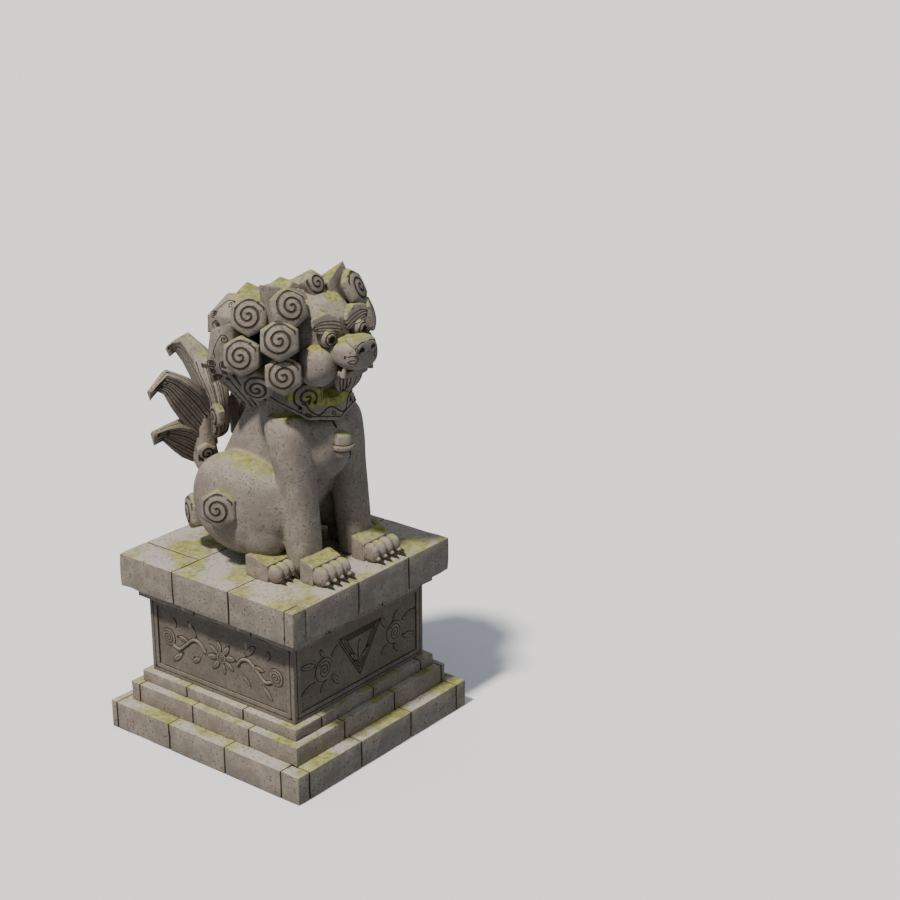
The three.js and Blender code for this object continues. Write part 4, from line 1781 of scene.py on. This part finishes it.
@dataclass(frozen=True)
class Mane:
    """The mane behind the curls: two angular tiers with swirls, hair below, scutes on top."""

    upper_side: tuple[Point, ...] = (
        (-230, 33, 1084), (-200, -15, 1084), (-287, -70, 1012), (-288, -36, 1001),
        (-286, 88, 1001), (-284, 94, 932), (-150, 40, 1062),
        (-150, -70, 1064), (-142, 176, 990), (-142, 192, 918), (-140, -60, 940), (-200, -146, 1050),
    )
    upper_middle: tuple[Point, ...] = (
        (-154, 38, 1062), (-154, -70, 1064), (-146, 174, 990), (-146, 190, 920),
        (-52, 206, 1004), (-52, 222, 922), (-56, 70, 1060), (-126, -150, 1062), (-120, -60, 930),
    )
    lower_side: tuple[Point, ...] = (
        (-289, 74, 944), (-314, 80, 817), (-281, 84, 735), (-266, -24, 792), (-285, -36, 1002),
        (-150, 182, 935), (-160, 204, 815), (-140, 174, 735), (-120, -60, 800),
    )
    lower_middle: tuple[Point, ...] = (
        (-154, 178, 935), (-164, 200, 815), (-144, 170, 735), (-50, 216, 935),
        (-54, 236, 815), (-48, 200, 735), (-120, -60, 930), (-120, -60, 745),
    )
    scute: tuple[Point, ...] = (
        (0, -83, 1099), (0, -19, 1109), (0, 47, 1048), (-58, -95, 1064),
        (-62, -8, 1066), (-54, 60, 1040), (-45, -20, 1000),
    )
    rear_scute: tuple[Point, ...] = (
        (0, 100, 1034), (0, 158, 1060), (0, 196, 1008), (-46, 106, 1026), (-42, 160, 1036),
        (-44, 196, 1000), (-40, 150, 980),
    )
    hair_top: tuple[Point, ...] = (
        (0, 196, 748), (-140, 170, 748), (-270, 72, 750), (-248, -22, 790), (-100, -80, 795),
    )
    hair_end: tuple[Point, ...] = (
        (0, 126, 592), (-92, 100, 598), (-158, 22, 612), (-160, -44, 640), (-100, -100, 660),
    )
    side_swirls: tuple[Swirl, ...] = (
        Swirl((-255, -6, 1052), (-0.81, 0.05, 0.58), 16, ((-64, -44), (-42, -12), (-22, 10))),
        Swirl((-285, 63, 1006), (-1, 0, 0), 13, ((-26, -14), (-18, 6))),
        Swirl((-285, 42, 976), (-1, 0, 0), 13, ((-18, -24), (-20, -4)), top=120),
        Swirl((-294, 2, 923), (-1, 0, 0), 18, ((-38, -78), (-44, -52), (-36, -24), (-20, 4)), top=110),
        Swirl((-303, 57, 821), (-1, 0, 0), 15, ((-2, -26), (-18, -14), (-17, 8))),
        Swirl((-303, 12, 820), (-1, 0, 0), 15, ((-8, -28), (-18, -12), (-16, 8))),
        Swirl((-287, 50, 765), (-1, 0, 0), 11, ((-12, -14), (-13, 4))),
    )
    rear_swirls: tuple[Swirl, ...] = (
        Swirl((-62, 230, 968), (0, 1, 0), 18, ((56, -34), (44, 0), (22, 22)), hand=-1),
        Swirl((-118, 230, 962), (0, 1, 0), 15, ((-24, -22), (-20, 8))),
        Swirl((-66, 240, 868), (0, 1, 0), 18, ((52, -56), (54, -20), (26, 20)), hand=-1),
        Swirl((-118, 240, 792), (0, 1, 0), 15, ((-24, -20), (-20, 8))),
        Swirl((-52, 240, 790), (0, 1, 0), 14, ((22, -20), (19, 8)), hand=-1),
    )
    strands: int = 13
    strand_widths: tuple[float, ...] = (4.0, 2.6, 3.2)
    strand_starts: tuple[float, ...] = (0.03, 0.10, 0.05)
    strand_ends: tuple[float, ...] = (0.97, 0.86, 0.93)

    def hair(self, u: float, v: float) -> Vector:
        """Gives a point of the hair below the tiers."""
        return stacked([mirrored_ring(self.hair_top), mirrored_ring(self.hair_end)])(u, v)

    def solids(self) -> list[BMesh]:
        """Shapes the tiers, the scutes and the hair.

        Returns:
            The solids.
        """
        return [
            hewn(self.upper_middle, whole=True),
            hewn(self.lower_middle, whole=True),
            hewn(self.upper_side, arris=5),
            hewn(self.lower_side, arris=5),
            hewn(self.scute, whole=True, arris=2),
            hewn(self.rear_scute, whole=True, arris=2),
            soften(bent(self.hair, 8, 54), 3.0),
        ]

    def carve(self, carver: Carver) -> None:
        """Adds the strands of the hair and the swirls.

        Args:
            carver: What collects them.
        """
        corners = 2 * len(self.hair_top) - 1
        for i in range(self.strands):
            v = (0.12 + i * 0.29) / corners
            start, end = self.strand_starts[i % 3], self.strand_ends[i % 3]
            path = [self.hair(start + (end - start) * t / 12, v) for t in range(13)]
            carver.add(Groove(path, self.strand_widths[i % 3]), mirror=True)
        for swirl in self.side_swirls + self.rear_swirls:
            carver.lay(swirl.path(), -Vector(swirl.normal), swirl.width, mirror=True)


@dataclass(frozen=True)
class Face:
    """Forehead, cheeks, muzzle, eyes, brows, nose, fangs, chin and beard."""

    forehead: tuple[Point, ...] = (
        (-128, -172, 1067), (-127, -228, 1014), (-104, -292, 1000), (-100, -304, 900),
        (-36, -322, 1000), (-36, -330, 900), (-130, -236, 880), (-118, -200, 745),
        (-150, -60, 1064), (-160, -40, 760), (-60, -290, 760), (-62, -270, 1052), (0, -186, 1088),
    )
    neck: tuple[Point, ...] = (
        (-108, -240, 790), (-24, -262, 790), (-90, -226, 690), (-14, -238, 686),
        (-104, -120, 790), (-90, -120, 690),
    )
    cheek: Point = (-97, -285, 832)
    cheek_size: Point = (76, 76, 82)
    muzzle: tuple[Ring, ...] = (
        (0, -290, 882, 78, 46),
        (0, -345, 882, 90, 52),
        (0, -394, 878, 95, 59),
        (0, -426, 875, 84, 55),
        (0, -442, 875, 66, 44),
    )
    jaw: tuple[Ring, ...] = (
        (0, -260, 802, 72, 30),
        (0, -350, 802, 70, 21),
        (0, -384, 801, 69, 16),
        (0, -398, 801, 60, 12),
    )
    eye: Point = (-86, -326, 941)
    eye_radius: float = 35
    eye_looks: Point = (-0.16, -0.98, -0.03)
    pupil: float = 14
    lid: float = 44  # degrees from the gaze to the line round the eye
    brow: tuple[Point, ...] = (
        (-14, -336, 986), (-20, -343, 951), (-104, -338, 955), (-141, -330, 968), (-158, -322, 990),
        (-157, -312, 1022), (-76, -318, 1034), (-24, -326, 1010), (-14, -290, 990), (-22, -290, 953),
        (-130, -290, 975), (-130, -290, 1014), (-76, -280, 1030),
    )
    brow_lines: tuple[Strip, ...] = (
        ((-148, 996), (-120, 1004), (-87, 1004), (-46, 997), (-14, 984)),
        ((-152, 991), (-120, 995), (-87, 992), (-46, 983), (-16, 970)),
        ((-150, 984), (-120, 985), (-87, 980), (-46, 970), (-20, 961)),
        ((-140, 977), (-114, 975), (-74, 967), (-36, 957)),
    )
    nose: tuple[Ring, ...] = (
        (0, -364, 926, 34, 12),
        (0, -392, 927, 54, 22),
        (0, -418, 923, 62, 26),
        (0, -437, 918, 60, 25),
        (0, -448, 911, 48, 18),
        (0, -450, 909, 30, 11),
        (0, -451, 908, 12, 4),
    )
    nostril: Point = (-31, -448, 903)
    nose_wing: Strip = ((-58, 900), (-56, 914), (-44, 926), (-24, 931), (-6, 930))
    mouth_hook: Strip = (
        (-88, 884), (-68, 887), (-52, 882), (-44, 872), (-50, 861), (-68, 857), (-84, 862),
        (-76, 870), (-60, 869),
    )
    fang: tuple[Ring, ...] = (
        (-78, -396, 800, 11, 11),
        (-76, -397, 818, 9.5, 9.5),
        (-73, -399, 836, 5.5, 5.5),
        (-70, -400, 855, 0.6, 0.6),
    )
    beard: tuple[Ring, ...] = (
        (0, -335, 722, 34, 22),
        (0, -346, 752, 55, 34),
        (0, -351, 786, 63, 42),
        (0, -350, 806, 56, 38),
    )
    beard_lines: tuple[float, ...] = (0.54, 0.59, 0.64, 0.69, 0.75, 0.81, 0.86, 0.91, 0.96)
    neck_lines: tuple[float, ...] = (-34, -48, -62, -76)
    brow_front: float = -480  # lines are laid from this far in front of the brows
    muzzle_front: float = -520
    neck_front: float = -400

    def solids(self) -> list[BMesh]:
        """Shapes the parts of the face.

        Returns:
            The solids.
        """
        radius = self.eye_radius
        return [
            hewn(self.forehead, whole=True, arris=9),
            hewn(self.neck, whole=True),
            both_sides(bent(ball(self.cheek, self.cheek_size, 2.1), 20, 32)),
            bent(over_rings(self.muzzle, X_AXIS, Z_AXIS, 2.5, True), 16, 44),
            bent(over_rings(self.jaw, X_AXIS, Z_AXIS, 3.0), 10, 28),
            both_sides(bent(ball(self.eye, (radius, radius, radius)), 16, 24)),
            hewn(self.brow, arris=6, cell=12),
            bent(over_rings(self.nose, X_AXIS, Z_AXIS, 2.2), 20, 36),
            both_sides(bent(over_rings(self.fang, X_AXIS, Y_AXIS, 2.0), 12, 12)),
            bent(over_rings(self.beard, X_AXIS, Y_AXIS, 2.6), 10, 30),
        ]

    def carve(self, carver: Carver) -> None:
        """Adds the lines and dark places of the face.

        Args:
            carver: What collects them.
        """
        gaze = facing(Vector(self.eye), Vector(self.eye_looks))
        lid = math.radians(self.lid)
        ring = circle(self.eye_radius * math.sin(lid), 40, self.eye_radius * math.cos(lid))
        carver.add(Groove([gaze @ point for point in ring], 3.4), mirror=True)
        front = gaze @ Vector((0, 0, self.eye_radius))
        carver.hole(bent(ball(front, (self.pupil, self.pupil, self.pupil)), 10, 16), mirror=True)
        # Painted shade in the pupil hole.
        carver.dark_spot(front, self.pupil + 1.5, mirror=True)
        at = Vector(self.nostril)
        carver.hole(bent(ball(at, (11, 12, 8)), 10, 18), mirror=True)
        # Painted shade in the nostril hole.
        carver.dark_spot(at, 12.5, mirror=True)
        laid = [(line, self.brow_front, 6.0, 2.1) for line in self.brow_lines]
        laid.append((self.nose_wing, self.muzzle_front, 6.0, 2.2))
        laid.append((self.mouth_hook, self.muzzle_front, 5.5, 2.4))
        for line, y, step, width in laid:
            carver.lay([Vector((x, y, z)) for x, z in evenly(line, step)], Y_AXIS, width, mirror=True)
        beard = over_rings(self.beard, X_AXIS, Y_AXIS, 2.6)
        for v in self.beard_lines:
            carver.add(Groove([beard(0.04 + 0.70 * i / 16, v) for i in range(17)], 2.9))
        for x in self.neck_lines:
            neck = [Vector((x * (1 - 0.15 * t / 12), self.neck_front, 752 - 5.0 * t)) for t in range(13)]
            carver.lay(neck, Y_AXIS, 2.6, mirror=True)


@dataclass(frozen=True)
class Collar:
    """The broad carved collar on the chest, with its rim, its wave and its small curls."""

    rows: tuple[tuple[Point, ...], ...] = (
        ((0, 30, 690), (-115, -10, 688), (-135, -130, 655), (-112, -235, 618), (0, -268, 592)),
        ((0, 60, 700), (-136, 8, 694), (-158, -134, 662), (-134, -268, 622), (0, -306, 594)),
        ((0, 62, 708), (-138, 10, 703), (-161, -135, 671), (-137, -271, 631), (0, -310, 603)),
        ((0, 52, 744), (-130, 6, 740), (-150, -131, 722), (-124, -254, 694), (0, -290, 682)),
        ((0, 10, 752), (-84, -20, 748), (-98, -110, 734), (-74, -192, 720), (0, -222, 716)),
        ((0, 0, 716), (-60, -30, 713), (-75, -105, 702), (-56, -170, 692), (0, -190, 690)),
    )
    wave_shape: Strip = (
        (2.3, 0.55), (2.5, 0.34), (2.75, 0.62), (2.95, 0.66), (3.1, 0.36), (3.3, 0.16), (3.47, 0.28),
        (3.65, 0.52), (3.82, 0.56), (4.0, 0.38), (4.2, 0.16), (4.4, 0.16), (4.55, 0.42),
        (4.75, 0.62), (4.95, 0.60), (5.1, 0.36), (5.3, 0.18), (5.6, 0.5),
    )
    small_curls: Strip = ((2.72, 0.28), (3.80, 0.24), (4.72, 0.28), (5.35, 0.62))
    chest_lines: Strip = ((3.02, 3.42), (3.55, 3.95), (4.05, 4.45), (4.58, 4.98))
    front: float = -440  # the chest's lines are laid from here

    def place(self, u: float, v: float) -> Vector:
        """Gives a point of the collar."""
        return stacked([mirrored_ring(row) for row in self.rows])(u, v)

    def spot(self, corner: float, rise: float) -> Vector:
        """Gives a point of the broad face, by its corner count and its height."""
        return self.place((2 + rise) / (len(self.rows) - 1), corner / 8)

    def solids(self) -> list[BMesh]:
        """Shapes the collar.

        Returns:
            The solid.
        """
        return [soften(bent(self.place, 20, 80), 2.5)]

    def carve(self, carver: Carver) -> None:
        """Adds the collar's rim line, its wave and its small curls.

        Args:
            carver: What collects them.
        """
        carver.add(Groove([self.spot(0.3 + 7.4 * i / 100, 0.075) for i in range(101)], 2.6))
        turns = evenly(self.wave_shape, 0.035)
        carver.add(Groove([self.spot(corner, rise) for corner, rise in turns], 3.3))
        for corner, rise in self.small_curls:
            at = self.spot(corner, rise)
            side = (self.spot(corner + 0.02, rise) - at).normalized()
            up = (self.spot(corner, rise + 0.02) - at).normalized()
            coil = [at + side * p.x + up * p.y for p in spiral(1.5, 12, 1.3, -1, 0.4)]
            carver.add(Groove(coil, 2.2))
        for start, end in self.chest_lines:
            path = []
            for i in range(15):
                low = self.spot(start + (end - start) * i / 14, 0)
                path.append(Vector((low.x, self.front, low.z - 20)))
            carver.lay(path, Y_AXIS, 2.4)
        chest = [Vector((0, self.front, 592 - 3.0 * i)) for i in range(12)]
        carver.lay(chest, Y_AXIS, 5.5)


@dataclass(frozen=True)
class Bell:
    """The round bell under the collar, with its band and its slit."""

    at: Point = (0, -318, 492)
    profile: Strip = (
        (0, 54), (21, 54), (28, 50), (32, 42), (36, 28), (38.5, 15), (38.5, 11.5), (43, 10), (45.5, 6),
        (45.5, -5), (43, -9), (38, -10.5), (37.5, -14), (36, -26), (33, -38), (26, -49), (12, -53), (0, -54),
    )
    band_lines: Strip = ((39.5, 13), (38.5, -12))

    def solids(self) -> list[BMesh]:
        """Shapes the bell.

        Returns:
            The solid.
        """
        at = Vector(self.at)
        last = len(self.profile) - 1

        def place(u: float, v: float) -> Vector:
            r, z = self.profile[round(u * last)]
            return at + Vector((r * math.cos(TAU * v), r * math.sin(TAU * v), z))

        return [bent(place, last, 40)]

    def carve(self, carver: Carver) -> None:
        """Adds the lines beside the band, and the slit.

        Args:
            carver: What collects them.
        """
        at = Vector(self.at)
        for radius, height in self.band_lines:
            carver.add(Groove([at + point for point in circle(radius, 60, height)], 2.6))
        carver.lay([at + Vector((2, -90, -16 - 2.2 * i)) for i in range(14)], Y_AXIS, 4.4)


@dataclass(frozen=True)
class Tail:
    """The tail: side locks on short columns, a bundle before them, a rear lock and root curls."""

    column: tuple[Ring, ...] = (
        (-116, 236, 270, 52, 60),
        (-120, 296, 330, 52, 50),
        (-116, 312, 390, 44, 42),
        (-104, 326, 450, 38, 36),
        (-88, 336, 520, 36, 34),
    )
    bundle: tuple[Ring, ...] = (
        (-88, 262, 430, 24, 12),
        (-96, 242, 462, 34, 24),
        (-98, 233, 530, 36, 28),
        (-96, 237, 590, 36, 33),
        (-90, 263, 640, 36, 44),
        (-76, 312, 692, 32, 56),
        (-50, 362, 742, 24, 52),
    )
    side_locks: tuple[TailLock, ...] = (
        TailLock((
            (-50, 400, -96, 350, 318, 54),
            (-46, 530, -150, 440, 326, 66),
            (-96, 626, -220, 520, 338, 66),
            (-150, 672, -258, 582, 346, 62),
            (-206, 704, -280, 634, 356, 54),
            (-254, 728, -303, 650, 366, 40),
            (-342, 664, -336, 620, 374, 20),
        )),
        TailLock((
            (-60, 400, -112, 302, 322, 50),
            (-116, 462, -168, 330, 342, 56),
            (-168, 508, -206, 354, 350, 56),
            (-212, 516, -246, 392, 354, 50),
            (-276, 508, -296, 446, 360, 40),
            (-345, 498, -338, 438, 365, 20),
        )),
    )
    rear_lock: TailLock = TailLock((
        (336, 470, 410, 400, 0, 100),
        (318, 600, 400, 470, 0, 120),
        (352, 702, 462, 560, 0, 116),
        (432, 762, 500, 618, 0, 100),
        (499, 796, 536, 666, 0, 76),
        (566, 758, 576, 700, 0, 50),
        (627, 716, 612, 672, 0, 22),
    ), sideways=False)
    root_curls: tuple[Curl, ...] = (
        Curl((-146, 224, 540), (-0.92, 0.39, 0.0), 50, 34, turns=1.8),
        Curl((-148, 268, 372), (-0.42, -0.9, -0.1), 42, 50, turns=1.8),
    )

    def solids(self) -> list[BMesh]:
        """Shapes the parts of the tail.

        Returns:
            The solids.
        """
        parts = [
            both_sides(bent(over_rings(self.column, X_AXIS, Y_AXIS, 2.6), 12, 24)),
            both_sides(bent(over_rings(self.bundle, X_AXIS, Y_AXIS, 3.6), 24, 36)),
        ]
        parts += [both_sides(lock.solid()) for lock in self.side_locks]
        parts += [self.rear_lock.solid()]
        parts += [both_sides(curl.solid()) for curl in self.root_curls]
        return parts

    def carve(self, carver: Carver) -> None:
        """Adds the long lines of the locks and the stalk, and the small curls' lines.

        Args:
            carver: What collects them.
        """
        for lock in self.side_locks:
            carver.add(*lock.carved(), mirror=True)
        carver.add(*self.rear_lock.carved())
        for curl in self.root_curls:
            carver.add(curl.line(), mirror=True)
        bundle = over_rings(self.bundle, X_AXIS, Y_AXIS, 3.6)
        for number, v in enumerate((0.47, 0.505, 0.54, 0.57, 0.66, 0.70, 0.745, 0.79, 0.83)):
            path = [bundle(0.16 + 0.74 * i / 20, v) for i in range(21)]
            carver.add(Groove(path, (2.6, 1.7, 2.1)[number % 3]), mirror=True)


@dataclass
class LionFigure:
    """The seated lion, carved with its tail and collar from one stone."""

    node: str = "lion_figure"
    slot: str = "carved_stone"
    masses: Masses = Masses()
    mane: Mane = Mane()
    face: Face = Face()
    collar: Collar = Collar()
    bell: Bell = Bell()
    tail: Tail = Tail()
    curls: tuple[Curl, ...] = (
        Curl((-281, -119, 1033), (-0.78, -0.52, 0.33), 77, 95),
        Curl((-189, -246, 1067), (-0.30, -0.85, 0.43), 80, 48, taper=0.5),
        Curl((-324, -113, 886), (-0.87, -0.46, 0.15), 78, 95),
        Curl((-260, -250, 957), (-0.74, -0.62, 0.25), 80, 90, taper=0.6),
        Curl((-268, -135, 753), (-0.76, -0.5, -0.35), 68, 80),
        Curl((-252, -257, 820), (-0.72, -0.68, 0.12), 76, 90, taper=0.65),
        Curl((-118, -246, 704), (-0.52, -0.82, -0.2), 75, 66),
        Curl((-360, 9, 262), (-0.88, -0.42, 0.10), 80, 90, straight=1.0, taper=0.95),
        Curl((-258, 276, 162), (-0.86, 0.50, 0.02), 76, 74, straight=1.0, taper=0.9),
    )
    topknot: Curl = Curl((0, -204, 1112), (0, -0.9, 0.43), 56, 55, turns=1.9, sides=5, straight=0.95)
    front_paw: Paw = Paw(-149, -286, -302, -372, 84, 93, 34, 45)
    hind_paw: Paw = Paw(-237, -78, -125, -214, 77, 86, 31, 33)
    mossy: tuple[MossPatch, ...] = (
        MossPatch((0, -285, 690), 60),
        MossPatch((-48, -280, 694), 52),
        MossPatch((-95, -262, 700), 50),
        MossPatch((-136, -200, 716), 48, 0.9),
        MossPatch((-132, -110, 1112), 74, 0.9),
    )
    # how far a neighbour reaches when the painted shade is measured
    painted_shade_reach: float = 130.0
    ear: tuple[Point, ...] = (
        (-62, -232, 1036), (-66, -200, 1100), (-233, -131, 1142), (-238, -214, 985),
        (-76, -130, 1036), (-222, -130, 990), (-92, -118, 1096),
    )

    def crisp_parts(self, carver: Carver) -> list[BMesh]:
        """Shapes all that is joined to the melted masses, and collects its carving.

        Args:
            carver: What collects the carving.

        Returns:
            The solids.
        """
        parts = [hewn(self.ear, arris=1.5, cell=18)]
        for curl in self.curls:
            parts.append(both_sides(curl.solid()))
            carver.add(curl.line(), mirror=True)
        parts.append(self.topknot.solid())
        carver.add(self.topknot.line())
        for paw in (self.front_paw, self.hind_paw):
            parts.append(paw.block())
            for x in paw.toe_places():
                parts.append(both_sides(paw.toe(x)))
                parts.append(both_sides(paw.nail(x)))
            for dark_spot in paw.dark_spots():
                carver.dark_spot(dark_spot.at, dark_spot.radius, mirror=True)
        for group in (self.mane, self.face, self.collar, self.bell, self.tail):
            parts += group.solids()
            group.carve(carver)
        return parts

    def build(self) -> bpy.types.Mesh:
        """Models the figure.

        Returns:
            The mesh, in metres, at its place on the cap.
        """
        carver = Carver()
        melted = self.masses.melted()
        parts = self.crisp_parts(carver)
        mesh = as_mesh(parts[0])
        for part in parts[1:]:
            mesh = Bench.combine(mesh, part, Joining.ADD)
        mesh = Bench.combine(mesh, melted, Joining.ADD)
        log.info("joined figure: %d faces", len(mesh.polygons))
        carver.settle(mesh)
        mesh = carver.cut(mesh)
        log.info("carved figure: %d faces", len(mesh.polygons))
        carver.mark(mesh)
        mark_moss(mesh, self.mossy)
        mark_painted_shade(mesh, self.painted_shade_reach, PAINTED_SHADE_RAYS)
        mesh.transform(Matrix.Translation((0, 0, CAP_TOP * MM)) @ Matrix.Scale(MM, 4))
        shade_stone(mesh, CRISP)
        return mesh


# Studio
@dataclass
class Studio:
    """Camera, pale floor and soft light."""

    eye: tuple[float, float, float] = (-4.879, -4.638, 3.593)
    yaw: float = 52.06  # degrees from +Y towards +X
    pitch: float = 19.90  # degrees down
    lens: float = 72.62  # mm on a sensor of 36 mm
    power: float = 4.3
    softness: float = 5.0  # degrees
    shines: Point = (0.482, -0.01, -0.876)
    light_tone: Colour = (1.0, 0.94, 0.87)
    air_tone: Colour = (0.82, 0.88, 1.0)
    air_power: float = 0.40
    floor_half: float = 30.0  # metres

    def build(self) -> None:
        """Sets up the camera, the floor and the lights."""
        self._camera()
        self._floor()
        self._sun()
        world = bpy.data.worlds.new("studio_air")
        world.use_nodes = True
        air = world.node_tree.nodes["Background"]
        air.inputs["Color"].default_value = (*self.air_tone, 1.0)
        air.inputs["Strength"].default_value = self.air_power
        bpy.context.scene.world = world

    def _camera(self) -> None:
        """Puts the camera at the photograph's place."""
        data = bpy.data.cameras.new("camera")
        data.lens = self.lens
        data.sensor_width = 36.0
        camera = bpy.data.objects.new("camera", data)
        yaw, pitch = math.radians(self.yaw), math.radians(self.pitch)
        ahead = Vector(
            (math.sin(yaw) * math.cos(pitch), math.cos(yaw) * math.cos(pitch), -math.sin(pitch))
        )
        camera.location = self.eye
        camera.rotation_euler = ahead.to_track_quat("-Z", "Y").to_euler()
        bpy.context.scene.collection.objects.link(camera)
        bpy.context.scene.camera = camera

    def _floor(self) -> None:
        """Lays the floor."""
        bm = bmesh.new()
        bmesh.ops.create_grid(bm, x_segments=8, y_segments=8, size=self.floor_half)
        mesh = as_mesh(bm, "floor")
        mesh.materials.append(PlainGround().material())
        floor = bpy.data.objects.new("floor", mesh)
        bpy.context.scene.collection.objects.link(floor)
        floor.visible_diffuse = False

    def _sun(self) -> None:
        """Hangs one broad soft light, high on the figure's right side."""
        data = bpy.data.lights.new("high_side_light", "SUN")
        data.energy = self.power
        data.angle = math.radians(self.softness)
        data.color = self.light_tone
        light = bpy.data.objects.new("high_side_light", data)
        light.rotation_euler = Vector(self.shines).to_track_quat("-Z", "Y").to_euler()
        bpy.context.scene.collection.objects.link(light)


def main() -> None:
    """Builds the object piece by piece and the studio around it."""
    logging.basicConfig(level=logging.INFO, format="%(message)s")
    Studio().build()
    laid = WeatheredStone(
        "laid_stone", hollow=(0.075, 0.060, 0.038), moss=0.92, moss_gap=(0.41, 0.57)
    ).material()
    carved = WeatheredStone(
        "carved_stone", pits=0.55, moss=0.95, moss_from=0.60, moss_gap=(0.33, 0.47), top_light=0.35,
        line_moss=0.0, painted_shade_strength=0.42,
    ).material()
    panel = WeatheredStone(
        "panel_stone", light=(0.225, 0.19, 0.152), middle=(0.16, 0.134, 0.107),
        stained=(0.11, 0.092, 0.073), pits=0.5, moss=0.5, moss_from=0.7, top_light=0.2, line_moss=0.0,
    ).material()
    Plinth().build(laid)
    lion = LionFigure()
    finish_piece(lion.build(), "carved_lion", lion.node, lion.slot, carved)
    dado = Dado()
    finish_piece(dado.build(), "carved_dado", dado.node, dado.slot, panel)


if __name__ == "__main__":
    main()
